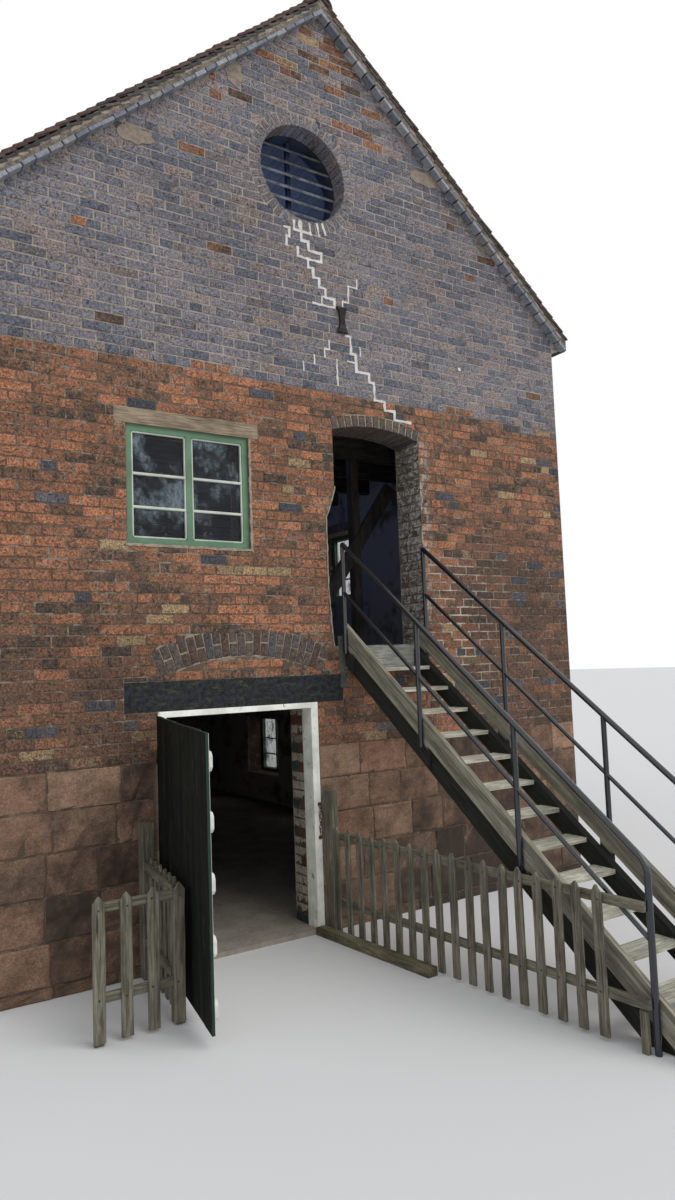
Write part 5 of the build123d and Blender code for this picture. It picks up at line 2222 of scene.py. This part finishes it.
@dataclass
class Windows:
    """Glazing bars and beads of every window."""

    openings: Openings = OPENINGS
    frame: float = 0.050
    bars: Pair = (0.285, 0.541)
    bar_half: float = 0.010
    bar_depths: Pair = (0.004, 0.040)
    bead: float = 0.012
    bead_depths: Pair = (0.006, 0.026)
    recess: float = 0.025
    louvre_edge_y: float = 4.303

    def template(self) -> bpy.types.Mesh:
        """Bars and beads of one window, centred, facing -Y.

        Returns:
            The template.
        """
        shape = bmesh.new()
        half = self.openings.height / 2
        light = (2 * self.openings.half - 3 * self.frame) / 2
        low, top, bead = -half + self.frame, half - self.frame, self.bead
        for side in (-1, 1):
            middle = side * (light + self.frame) / 2
            x0, x1 = middle - light / 2, middle + light / 2
            for bar in self.bars:
                z = -half + bar
                add_box(shape, (x0, self.bar_depths[0], z - self.bar_half),
                        (x1, self.bar_depths[1], z + self.bar_half), 0.003)
            for a, b, c, d in ((x0, x0 + bead, low, top), (x1 - bead, x1, low, top),
                               (x0, x1, low, low + bead), (x0, x1, top - bead, top)):
                add_box(shape, (a, self.bead_depths[0], c), (b, self.bead_depths[1], d), 0.002)
        return settle_closed("window_bars", shape)

    def places(self) -> list[Spot]:
        """Centre and turn of every window.

        Returns:
            The spots.
        """
        given = self.openings
        faces = [(FRONT_FACE, given.front_x, given.sills[1])]
        for face, sign in ((RIGHT_FACE, 1), (LEFT_FACE, -1)):
            faces += [(face, sign * y, sill) for y in given.side_y for sill in given.sills]
        faces += [(BACK_FACE, 0.0, sill) for sill in given.sills]
        return [Spot(face.place(along, sill + given.height / 2, -self.recess), (1.0, 1.0, 1.0),
                     (0.0, 0.0, face.yaw)) for face, along, sill in faces]

    def build(self) -> None:
        """Builds and dresses the windows."""
        bars = scatter("window_bars", self.places(), [self.template()], CREAM_BEAD, 1)
        paint_node("window_frames", GREEN_FRAME)
        paint_node("window_glass", WINDOW_GLASS)
        paint_node("window_lintels", LINTEL_TIMBER)
        paint_node("vent_louvres", LouvreFinish("louvre_paint", self.louvre_edge_y))


@dataclass
class GroundDoor:
    """The ledged ground door, drawn closed and turned to its open rest place."""

    axis: Pair = (-1.654, -4.5245)
    angle: float = math.radians(99.0)
    left: float = -1.640
    width: float = 1.355
    low: float = 0.108
    top: float = 1.845
    sag: float = 0.040
    outer: float = -4.537
    inner: float = -4.512
    boards: int = 8
    ledge_half: float = 0.061
    ledge_thick: float = 0.030
    ledge_cut: float = 0.026
    ledge_ends: Pair = (-1.560, -0.326)
    chain_room: float = 0.021
    plate_half: float = 0.014
    link_half: Pair = (0.0085, 0.017)
    link_pitch: float = 0.028

    def open(self, point: Vector) -> Vector:
        """A point of the closed leaf, sagged and then turned open.

        Args:
            point: its closed place.

        Returns:
            Its open place.
        """
        drop = self.sag * (point.x - self.left) / self.width
        x, y = point.x - self.axis[0], point.y - self.axis[1]
        cos, sin = math.cos(self.angle), math.sin(self.angle)
        return Vector((self.axis[0] + x * cos + y * sin, self.axis[1] - x * sin + y * cos,
                       point.z - drop))

    def build_boards(self) -> None:
        """Boards with worn edges."""
        rng = random.Random(17)
        shape = bmesh.new()
        edges = [self.left + self.width * k / self.boards
                 + (rng.uniform(-0.01, 0.01) if 0 < k < self.boards else 0.0)
                 for k in range(self.boards + 1)]
        for a, b in pairwise(edges):
            part = bmesh.new()
            bmesh.ops.create_cube(part, size=1.0)
            low = self.low + rng.uniform(0.0, 0.006)
            top = self.top - rng.uniform(0.0, 0.008)
            y1 = self.inner - rng.uniform(0.0, 0.002)
            y0 = self.outer + rng.uniform(0.0, 0.0025)
            for vert in part.verts:
                vert.co = Vector((a + 0.0012 if vert.co.x < 0 else b - 0.0012,
                                  y0 if vert.co.y < 0 else y1, low if vert.co.z < 0 else top))
            chamfer(part, part.edges, 0.0025)
            for face in part.faces:
                out = face.normal.y
                face.material_index = 2 if out > 0.7 else (0 if out < -0.7 else 1)
            for vert in part.verts:
                vert.co = self.open(vert.co)
            merge_into(shape, part)
        leaf = mesh_object("door_leaf_boards", shape, DARK_DOOR, GREEN_EDGE, WHITE_LEDGE)
        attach(leaf, DOOR_BODY)
        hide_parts("door_boards")

    def ledge_heights(self) -> list[float]:
        """Heights of the middles of the ledges at the hinge side.

        Returns:
            The heights.
        """
        height = 2 * self.ledge_half
        first, last = self.low + height, self.top - 1.5 * height
        return [first + (last - first) * k / 4 for k in range(5)]

    def build_ledges(self) -> None:
        """Ledges with chamfered ends."""
        shape = bmesh.new()
        x0, x1 = self.ledge_ends
        cut_end = self.ledge_cut
        for z in self.ledge_heights():
            low, top = z - self.ledge_half, z + self.ledge_half
            outline = [(x0, low + cut_end), (x0 + cut_end, low), (x1 - cut_end, low),
                       (x1, low + cut_end), (x1, top - cut_end), (x1 - cut_end, top),
                       (x0 + cut_end, top), (x0, top - cut_end)]
            part = bmesh.new()
            ring = [part.verts.new((x, self.inner, h)) for x, h in outline]
            face = part.faces.new(ring)
            made = bmesh.ops.extrude_face_region(part, geom=[face])
            for item in made["geom"]:
                if isinstance(item, bmesh.types.BMVert):
                    item.co.y += self.ledge_thick
            bmesh.ops.recalc_face_normals(part, faces=part.faces)
            chamfer(part, part.edges, 0.004, 2)
            for vert in part.verts:
                vert.co.y = max(vert.co.y, self.inner)
                vert.co = self.open(vert.co)
            merge_into(shape, part)
        ledges = mesh_object("door_leaf_ledges", shape, WHITE_LEDGE)
        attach(ledges, DOOR_BODY)
        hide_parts("door_ledges")

    def build_chain(self) -> None:
        """A short hasp chain that hangs on the frame's right post."""
        shape = bmesh.new()
        x, y = self.left + self.width + self.chain_room, SIZES.front - 0.006
        half = self.plate_half
        for end in (1.035, 0.765):
            add_box(shape, (x - half, y - 0.004, end - half), (x + half, y + 0.008, end + half),
                    0.003)
        for index in range(9):
            part = bmesh.new()
            centre = Vector((x + 0.004 * math.sin(index * 1.7), y - 0.006,
                             1.018 - index * self.link_pitch))
            self._link(part, centre, index % 2 == 0)
            merge_into(shape, part)
        chain = mesh_object("frame_chain", shape, RUSTY_IRON)
        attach(chain, BODY)

    def _link(self, part: Shape, centre: Vector, flat: bool) -> None:
        """One oval chain link.

        Args:
            part: the mesh that it goes into.
            centre: its middle.
            flat: whether it lies flat on the post.
        """
        around, across, thick = 12, 6, 0.003
        rows = []
        for i in range(around):
            a = 2 * math.pi * i / around
            spine = Vector((self.link_half[0] * math.cos(a), 0.0,
                            self.link_half[1] * math.sin(a)))
            outward = Vector((math.cos(a), 0.0, math.sin(a)))
            row = []
            for j in range(across):
                b = 2 * math.pi * j / across
                offset = Vector((0.0, thick * math.sin(b), 0.0))
                point = spine + (outward * (thick * math.cos(b)) + offset)
                if not flat:
                    point = Vector((point.y, point.x, point.z))
                row.append(part.verts.new(centre + point))
            rows.append(row)
        for i in range(around):
            for j in range(across):
                a, b = rows[i], rows[(i + 1) % around]
                face = part.faces.new((a[j], a[(j + 1) % across], b[(j + 1) % across], b[j]))
                face.smooth = True
        bmesh.ops.recalc_face_normals(part, faces=part.faces)

    def build(self) -> None:
        """Builds and dresses the ground doorway."""
        self.build_boards()
        self.build_ledges()
        self.build_chain()
        for node, finish in (("door_straps", BLACK_IRON), ("door_pintles", BLACK_IRON),
                             ("door_frame_posts", WHITE_FRAME), ("door_frame_head", WHITE_FRAME),
                             ("door_lintel", LINTEL_TAR), ("upper_door_leaf", GREEN_LEAF),
                             ("upper_door_sill", SILL_TIMBER)):
            paint_node(node, finish)


# Stair and fences


@dataclass
class Stair:
    """Finishes and worn treads of the outside stair."""

    sizes: MillSizes
    nose_z: float = 2.139
    nose_out: float = 0.214
    going: float = 0.2356
    rise: float = 0.17825
    count: int = 12
    depth: float = 0.185
    thick: float = 0.032

    def tread(self, width: float, seed: int) -> bpy.types.Mesh:
        """One worn board, dished a little where feet fall, with its nose towards -Y.

        Args:
            width: the real width.
            seed: the seed of its wear.

        Returns:
            The template.
        """
        rng = random.Random(seed)
        across, deep, edge = 10, 5, 0.004
        shape = bmesh.new()
        layers = []
        for level in (-0.5, 0.5):
            rows = []
            for j in range(deep + 1):
                row = []
                for i in range(across + 1):
                    x = (i / across - 0.5) * width
                    y = (j / deep - 0.5) * self.depth
                    z = level * self.thick
                    if level > 0:
                        middle = max(0.0, 1.0 - (2.6 * x / width) ** 2)
                        z -= 0.004 * middle * (1.0 - j / deep) + rng.uniform(0.0, 0.0012)
                    if j == 0:
                        y += rng.uniform(0.0, 0.003)
                    row.append(shape.verts.new((x, y, z)))
                rows.append(row)
            layers.append(rows)
        under, over = layers
        for j in range(deep):
            for i in range(across):
                shape.faces.new((over[j][i], over[j][i + 1], over[j + 1][i + 1], over[j + 1][i]))
                shape.faces.new((under[j][i + 1], under[j][i], under[j + 1][i],
                                 under[j + 1][i + 1]))
        low, top = rim_of(under), rim_of(over)
        for k in range(len(low)):
            n = (k + 1) % len(low)
            shape.faces.new((low[k], low[n], top[n], top[k]))
        rim = [e for e in shape.edges if len(e.link_faces) == 2 and e.calc_face_angle(0.0) > 1.0
               and abs(e.verts[0].co.y - e.verts[1].co.y) < 0.004]
        chamfer(shape, rim, edge, 2)
        return settle_closed("tread_board", shape)

    def lay_treads(self) -> None:
        """Worn boards in place of the plain treads."""
        low, high = box_of("stair_treads")
        rng = random.Random(41)
        spots = []
        for index in range(self.count):
            nose = self.sizes.front - self.nose_out - index * self.going
            top = self.nose_z - index * self.rise
            place = Vector(((low.x + high.x) / 2, nose + self.depth / 2, top - self.thick / 2))
            turn = (rng.uniform(-0.006, 0.006), rng.uniform(-0.002, 0.002), 0.0)
            spots.append(Spot(place, (1.0, 1.0, 1.0), turn, rng.random()))
        boards = [self.tread(high.x - low.x, 300 + k) for k in range(4)]
        treads = scatter("stair_tread_boards", spots, boards, TREAD_TIMBER, 42)
        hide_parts("stair_treads")

    def build(self) -> None:
        """Builds and dresses the stair."""
        self.lay_treads()
        rake = self.rise / self.going
        strings = StringFinish("stair_string_timber", self.sizes.front, self.nose_z,
                               self.nose_out, rake)
        paint_node("stair_strings", strings)
        for node in ("stair_handrails", "stair_mid_rails", "stair_rail_posts"):
            paint_node(node, RAIL_PAINT)
            smooth_node(node)


def smooth_node(node: str) -> None:
    """Shades the round faces of a CAD node smooth."""
    mesh = frame["nodes"][node].data
    mesh.polygons.foreach_set("use_smooth", [True] * len(mesh.polygons))


@dataclass(frozen=True)
class FenceRun:
    """Pickets on two rails between two plan points, each an x and a distance from the front."""

    node: str
    start: Pair
    end: Pair
    first: float
    pitch: float
    count: int
    width: float
    rail_ends: Pair


@dataclass
class Fences:
    """Worn pickets and rails of the fences."""

    sizes: MillSizes
    runs: tuple[FenceRun, ...] = (
        FenceRun("right_fence", (-0.200, 0.065), (-0.020, 2.935), 0.092, 0.147, 18, 0.064,
                 (0.067, 0.0)),
        FenceRun("left_fence", (-2.390, 0.930), (-1.866, 0.930), 0.0, 0.165, 4, 0.074,
                 (0.028, 0.047)),
        FenceRun("left_fence", (-1.875, 0.885), (-1.765, 0.045), 0.100, 0.128, 6, 0.064,
                 (0.0, 0.046)),
    )
    height: float = 0.865
    foot: float = 0.025
    point: float = 0.045
    thick: float = 0.020
    rail: Pair = (0.030, 0.056)
    rail_heights: Pair = (0.267, 0.787)
    nail_head: Pair = (0.0085, 0.005)
    posts: tuple[tuple[float, ...], ...] = (
        (-0.200, 0.065, 0.0325, 0.065, 1.150), (-1.765, 0.045, 0.045, 0.045, 1.085),
        (-2.390, 0.914, 0.0300, 0.0145, 0.815), (-1.885, 0.886, 0.0300, 0.0425, 0.815),
        (-0.005, 2.890, 0.015, 0.0225, 0.232),
    )

    def picket(self, seed: int) -> bpy.types.Mesh:
        """One worn picket of unit width, its face towards -Y and its foot at the origin.

        Args:
            seed: the seed of its wear.

        Returns:
            The template.
        """
        rng = random.Random(seed)
        shape = bmesh.new()
        length = self.height - self.foot
        levels = [length * k / 5 for k in range(5)] + [length - self.point]
        half, wear = 0.5, 0.035
        rows = []
        for z in levels:
            left = -half + rng.uniform(0.0, wear)
            right = half - rng.uniform(0.0, wear)
            bow = rng.uniform(-0.0015, 0.0015)
            rows.append([shape.verts.new((x, y + bow, z))
                         for x, y in self._outline(left, right)])
        tip = rng.uniform(-0.05, 0.05)
        blunt = rng.uniform(0.03, 0.08)
        drop = rng.uniform(0.0, 0.006)
        rows.append([shape.verts.new((x, y, length - drop))
                     for x, y in self._outline(tip - blunt, tip + blunt)])
        for low, high in pairwise(rows):
            for k in range(4):
                n = (k + 1) % 4
                shape.faces.new((low[k], low[n], high[n], high[k]))
        shape.faces.new(rows[0][::-1])
        shape.faces.new(rows[-1])
        for vert in shape.verts:
            vert.co.x *= self.runs[0].width
        bmesh.ops.recalc_face_normals(shape, faces=shape.faces)
        chamfer(shape, [e for e in shape.edges if e.calc_face_angle(0.0) > 0.9], 0.0022)
        for vert in shape.verts:
            vert.co.x /= self.runs[0].width
        return settle("picket", shape)

    def _outline(self, left: float, right: float) -> Path:
        """Corners of a picket at one height."""
        return ((left, -self.thick), (right, -self.thick), (right, 0.0), (left, 0.0))

    def _frame(self, run: FenceRun) -> tuple[Vector, Vector, Vector, float]:
        """How a run stands.

        Args:
            run: the run.

        Returns:
            Its start, its direction, the way out to its back, and its heading.
        """
        start = Vector((run.start[0], self.sizes.front - run.start[1], 0.0))
        end = Vector((run.end[0], self.sizes.front - run.end[1], 0.0))
        ahead = (end - start).normalized()
        heading = math.atan2(ahead.y, ahead.x)
        return start, ahead, Vector((-ahead.y, ahead.x, 0.0)), heading

    def lay_pickets(self, name: str, runs: Sequence[FenceRun]) -> bpy.types.Object:
        """Pickets of the runs of one node.

        Args:
            name: the piece's name.
            runs: the runs.

        Returns:
            The piece.
        """
        rng = random.Random(len(name))
        spots = []
        for run in runs:
            start, ahead, _, heading = self._frame(run)
            for index in range(run.count):
                place = start + ahead * (run.first + index * run.pitch)
                place.z = self.foot + rng.uniform(-0.006, 0.0)
                turn = (rng.uniform(-0.003, 0.003), rng.uniform(-0.012, 0.012), heading)
                spots.append(Spot(place, (run.width, 1.0, 1.0), turn, rng.random()))
        return scatter(name, spots, [self.picket(400 + k) for k in range(7)], FENCE_TIMBER, 43)

    def nail(self) -> bpy.types.Mesh:
        """The flat head of one nail, facing -Y.

        Returns:
            The template.
        """
        shape = bmesh.new()
        wide, narrow = self.nail_head
        bmesh.ops.create_cone(shape, cap_ends=True, segments=8, radius1=wide, radius2=narrow,
                              depth=narrow, matrix=Matrix.Rotation(math.pi / 2, 4, "X"))
        return settle_closed("nail_head", shape)

    def drive_nails(self, name: str, runs: Sequence[FenceRun]) -> bpy.types.Object:
        """A nail through each picket into each of its rails.

        Args:
            name: the piece's name.
            runs: the runs.

        Returns:
            The piece.
        """
        rng = random.Random(45)
        spots = []
        for run in runs:
            start, ahead, side, heading = self._frame(run)
            for index in range(run.count):
                for height in self.rail_heights:
                    along = run.first + index * run.pitch + rng.uniform(-0.012, 0.012)
                    place = start + ahead * along - side * self.thick
                    place.z = height + rng.uniform(-0.010, 0.010)
                    spots.append(Spot(place, (1.0, 1.0, 1.0), (0.0, 0.0, heading), rng.random()))
        return scatter(name, spots, [self.nail()], BLACK_IRON, 46)

    def build_rails(self, name: str, run: FenceRun) -> bpy.types.Object:
        """Rails behind the pickets of one run.

        Args:
            name: the piece's name.
            run: the run.

        Returns:
            The piece.
        """
        shape = bmesh.new()
        start, ahead, side, _ = self._frame(run)
        length = (Vector(run.end) - Vector(run.start)).length
        for z in self.rail_heights:
            low = (run.rail_ends[0], 0.0008, z - self.rail[1] / 2)
            high = (length - run.rail_ends[1], self.rail[0], z + self.rail[1] / 2)
            add_box(shape, low, high, 0.003,
                    move=lambda p: start + ahead * p.x + side * p.y + Vector((0, 0, p.z)))
        finish = RAIL_TIMBER if abs(ahead.y) > abs(ahead.x) else CROSS_RAIL_TIMBER
        rails = mesh_object(name, shape, finish)
        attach(rails, BODY)
        return rails

    def build_posts(self) -> None:
        """Posts of every fence, each from its plan point, half width, half depth and height."""
        shape = bmesh.new()
        for x, out, half, deep, height in self.posts:
            y = self.sizes.front - out
            add_box(shape, (x - half, y - deep, 0.0), (x + half, y + deep, height), 0.004)
        posts = mesh_object("fence_post_timbers", shape, FENCE_TIMBER)
        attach(posts, BODY)
        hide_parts("fence_posts")

    def build(self) -> None:
        """Builds and dresses the fences."""
        self.build_posts()
        for node in ("right_fence", "left_fence"):
            runs = [run for run in self.runs if run.node == node]
            pickets = self.lay_pickets(node + "_pickets", runs)
            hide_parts(node)
            for index, run in enumerate(runs):
                self.build_rails(f"{node}_rails_{index}", run)
            self.drive_nails(node + "_nails", runs)
        paint_node("gravel_board", BOARD_TIMBER)


# Wall details


@dataclass
class WallMarks:
    """The limed crack, render patches, tie and small fittings on the front."""

    sizes: MillSizes
    window: Rect = (-1.8505, -0.8255, 3.130, 4.046)
    rear: float = 0.004
    bed: float = Bond().course
    ring_joints: tuple[Path, ...] = (
        ((-0.162, 6.050), (-0.150, 5.952)),
        ((-0.085, 6.065), (-0.066, 5.955)),
        ((-0.026, 6.080), (0.002, 5.987)),
    )

    def ribbon(self, shape: Shape, points: Path, width: float, rng: random.Random) -> None:
        """A flat uneven band along a path on the front.

        Args:
            shape: the mesh that it goes into.
            points: the path as along and height.
            width: its usual width.
            rng: random numbers for its edges.
        """
        for number, ((ax, az), (bx, bz)) in enumerate(pairwise(points)):
            out = -0.0070 - 0.0014 * ((number * 0.37 + ax * 13.0 + az * 7.0) % 1.0)
            steps = max(2, int(math.hypot(bx - ax, bz - az) / 0.03))
            run = Vector((bx - ax, bz - az)).normalized()
            side = Vector((-run.y, run.x))
            left, right = [], []
            for k in range(steps + 1):
                t = k / steps
                centre = Vector((ax + (bx - ax) * t, az + (bz - az) * t))
                centre = centre + side * rng.uniform(-0.003, 0.003)
                half = width / 2 * rng.uniform(0.65, 1.3)
                grow = run * (-half * 0.8 if k == 0 else half * 0.8 if k == steps else 0.0)
                for row, sign in ((left, 1), (right, -1)):
                    spot = centre + grow + side * (half * sign)
                    front = shape.verts.new((spot.x, self.sizes.front + out, spot.y))
                    rear = shape.verts.new((spot.x, self.sizes.front + self.rear, spot.y))
                    row.append((front, rear))
            for k in range(steps):
                self._segment(shape, left[k:k + 2], right[k:k + 2], k == 0, k == steps - 1)

    @staticmethod
    def _segment(shape: Shape, left: Sequence[Any], right: Sequence[Any], first: bool,
                 last: bool) -> None:
        """One closed length of a band.

        Args:
            shape: the mesh that it goes into.
            left: front and rear corner of its left edge, at its start and its end.
            right: the same of its right edge.
            first: whether its start is closed.
            last: whether its end is closed.
        """
        (l0, l1), (r0, r1) = left, right
        shape.faces.new((l0[0], l1[0], r1[0], r0[0]))
        shape.faces.new((l0[1], r0[1], r1[1], l1[1]))
        shape.faces.new((l0[0], l0[1], l1[1], l1[0]))
        shape.faces.new((r0[0], r1[0], r1[1], r0[1]))
        if first:
            shape.faces.new((l0[0], r0[0], r0[1], l0[1]))
        if last:
            shape.faces.new((l1[0], l1[1], r1[1], r1[0]))

    def build_crack(self) -> None:
        """The limed crack from the vent to the upper doorway, along the joints."""
        rng = random.Random(77)
        shape = bmesh.new()
        for crack in CRACKS:
            self.ribbon(shape, crack.laid(self.sizes.base_top, self.bed), crack.width, rng)
        for line in self.ring_joints:
            self.ribbon(shape, line, 0.018, rng)
        self.patch(shape, (-0.262, 6.015, 0.045, 0.09), rng)
        bmesh.ops.recalc_face_normals(shape, faces=shape.faces)
        crack = mesh_object("limed_crack", shape, CRACK_LIME)
        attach(crack, BODY)

    def build_edges(self) -> None:
        """Pale mortar along the broken jamb and round the front window."""
        rng = random.Random(79)
        shape = bmesh.new()
        jamb = [(x + 0.004, z) for z, x in WORN_EDGE]
        self.ribbon(shape, jamb, 0.010, rng)
        left, right, low, high = self.window
        below, beside = low - 0.010, right + 0.008
        self.ribbon(shape, [(left - 0.01, below), (right + 0.01, below)], 0.020, rng)
        self.ribbon(shape, [(beside, below), (beside, high)], 0.018, rng)
        bmesh.ops.recalc_face_normals(shape, faces=shape.faces)
        edges = mesh_object("pale_edges", shape, EDGE_LIME)
        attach(edges, BODY)

    def patch(self, shape: Shape, area: Rect, rng: random.Random) -> None:
        """An uneven flat patch on the front.

        Args:
            shape: the mesh that it goes into.
            area: where its middle is along and up, its width and its height.
            rng: random numbers for its outline.
        """
        x, z, w, h = area
        count, out = 18, 0.009
        front, rear = [], []
        for k in range(count):
            a = 2 * math.pi * k / count
            r = rng.uniform(0.78, 1.12)
            px, pz = x + w / 2 * r * math.cos(a), z + h / 2 * r * math.sin(a)
            front.append(shape.verts.new((px, self.sizes.front - out, pz)))
            rear.append(shape.verts.new((px, self.sizes.front + self.rear, pz)))
        shape.faces.new(front)
        shape.faces.new(rear[::-1])
        for k in range(count):
            n = (k + 1) % count
            shape.faces.new((front[k], rear[k], rear[n], front[n]))

    def build_patches(self) -> None:
        """Render patches, and the cement at the lintel's end."""
        rng = random.Random(78)
        shape = bmesh.new()
        for area in ((-0.858, 7.181, 0.17, 0.22), (-1.750, 6.345, 0.32, 0.15),
                     (1.190, 6.865, 0.44, 0.15), (1.953, 6.346, 0.22, 0.06)):
            self.patch(shape, area, rng)
        bmesh.ops.recalc_face_normals(shape, faces=shape.faces)
        piece = mesh_object("render_patches", shape, PATCH_LIME)
        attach(piece, BODY)
        shape = bmesh.new()
        self.ribbon(shape, [(0.004, 2.400), (0.022, 2.010)], 0.062, rng)
        bmesh.ops.recalc_face_normals(shape, faces=shape.faces)
        piece = mesh_object("cement_patch", shape, CEMENT)
        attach(piece, BODY)

    def build_knob(self) -> None:
        """A small porcelain knob on the right of the front."""
        shape = bmesh.new()
        centre = Vector((1.504, self.sizes.front, 5.011))
        for radius, y0, y1 in ((0.018, -0.004, 0.004), (0.013, 0.0, 0.012), (0.017, 0.010, 0.020)):
            add_bar(shape, centre + Vector((0, 0.002 - y0, 0)), centre - Vector((0, y1, 0)),
                    radius)
        knob = mesh_object("porcelain_knob", shape, PORCELAIN)
        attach(knob, BODY)

    def build(self) -> None:
        """Builds all of them."""
        self.build_crack()
        self.build_edges()
        self.build_patches()
        self.build_knob()
        paint_node("wall_tie", TIE_IRON)


class Inside:
    """Finishes of what shows through the openings."""

    def build(self) -> None:
        """Dresses the floors, joists and post."""
        for node, finish in (("ground_floor", SCREED), ("timber_floors", OLD_TIMBER),
                             ("floor_joists", OLD_TIMBER), ("inner_post", OLD_POST)):
            paint_node(node, finish)


# Stage


@dataclass
class Stage:
    """Camera, lights, floor and background."""

    eye: Triple = (-3.92, -10.45, 2.16)
    yaw: float = math.radians(33.324)
    pitch: float = math.radians(4.567)
    roll: float = math.radians(-2.112)
    lens: float = 24.96
    sensor: float = 36.0
    far: float = 500.0

    def build_camera(self) -> None:
        """The camera at the photograph's place and turn."""
        cy, sy = math.cos(self.yaw), math.sin(self.yaw)
        flat = math.cos(self.pitch)
        ahead = Vector((sy * flat, cy * flat, math.sin(self.pitch)))
        right = Vector((cy, -sy, 0.0))
        up = right.cross(ahead)
        cr, sr = math.cos(self.roll), math.sin(self.roll)
        right, up = right * cr + up * sr, up * cr - right * sr
        camera = bpy.data.cameras.new("camera")
        camera.lens = self.lens
        camera.sensor_width = self.sensor
        camera.sensor_fit = "AUTO"
        camera.clip_end = self.far
        turn = Matrix((right, up, -ahead)).transposed().to_4x4()
        holder = link(bpy.data.objects.new("camera", camera))
        holder.matrix_world = Matrix.Translation(self.eye) @ turn
        bpy.context.scene.camera = holder

    def build_floor(self) -> None:
        """A pale floor that keeps the building's shadow."""
        mix = Recipe("stage_floor")
        mix.colour = (0.72, 0.72, 0.72)
        mix.done(0.95, gloss=0.1)
        mesh = bpy.data.meshes.new("floor")
        reach = 120.0
        corners = [(-reach, -reach, 0), (reach, -reach, 0), (reach, reach, 0), (-reach, reach, 0)]
        mesh.from_pydata(corners, [], [(0, 1, 2, 3)])
        mesh.materials.append(mix.material)
        link(bpy.data.objects.new("floor", mesh))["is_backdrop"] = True

    def build_world(self) -> None:
        """Soft sky light, and a white background for the camera, gloss and glass."""
        world = bpy.data.worlds.new("world")
        bpy.context.scene.world = world
        world.use_nodes = True
        weave = Weave(world.node_tree)
        world.node_tree.nodes.clear()
        rays = weave.add("ShaderNodeLightPath").outputs
        seen = Value(weave, rays["Is Camera Ray"]).most(Value(weave, rays["Is Glossy Ray"]))
        seen = seen.most(Value(weave, rays["Is Transmission Ray"]))
        sky = weave.add("ShaderNodeBackground", {"Color": (0.93, 0.96, 1.0), "Strength": 0.72})
        white = weave.add("ShaderNodeBackground", {"Color": (1.0, 1.0, 1.0), "Strength": 1.0})
        both = weave.add("ShaderNodeMixShader",
                         {0: seen, 1: sky.outputs[0], 2: white.outputs[0]})
        weave.add("ShaderNodeOutputWorld", {0: both.outputs[0]})

    def build_lights(self) -> None:
        """A soft high sun, and a faint fill in the upper storey and the loft."""
        fills = (("upper_fill", (0.6, -1.4, 4.15), 9.5, (0.34, 0.46, 1.0)),
                 ("loft_fill", (0.0, -1.5, 6.6), 270.0, (0.24, 0.42, 1.0)))
        for name, place, energy, colour in fills:
            fill = bpy.data.lights.new(name, "POINT")
            fill.energy = energy
            fill.shadow_soft_size = 0.5
            fill.color = colour
            link(bpy.data.objects.new(name, fill)).location = place
        sun = bpy.data.lights.new("sun", "SUN")
        sun.energy = 1.35
        sun.angle = math.radians(50)
        sun.color = (1.0, 0.98, 0.95)
        holder = link(bpy.data.objects.new("sun", sun))
        holder.rotation_euler = Euler((math.radians(46), 0.0, math.radians(28)))

    def build(self) -> None:
        """Builds the whole stage."""
        self.build_camera()
        self.build_floor()
        self.build_world()
        self.build_lights()
        bpy.context.scene.view_settings.view_transform = "Standard"


def clear_start_objects() -> None:
    """Removes what a new Blender file holds, apart from the frame."""
    keep = {obj.name for group in ("nodes", "bodies") for obj in frame[group].values()}
    for obj in list(bpy.data.objects):
        if obj.name not in keep:
            bpy.data.objects.remove(obj)


def main() -> None:
    """Builds every sub-assembly in order."""
    logging.basicConfig(level=logging.INFO, format="%(name)s: %(message)s")
    clear_start_objects()
    assemblies = (
        Stage(),
        Masonry(SIZES),
        Roof(SIZES),
        Windows(),
        GroundDoor(),
        Stair(SIZES),
        Fences(SIZES),
        WallMarks(SIZES),
        Inside(),
    )
    for assembly in assemblies:
        LOG.info("building %s", type(assembly).__name__)
        assembly.build()
    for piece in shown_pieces():
        LOG.info("piece %s: %d faces", piece.name, len(piece.data.polygons))


if __name__ == "__main__":
    main()
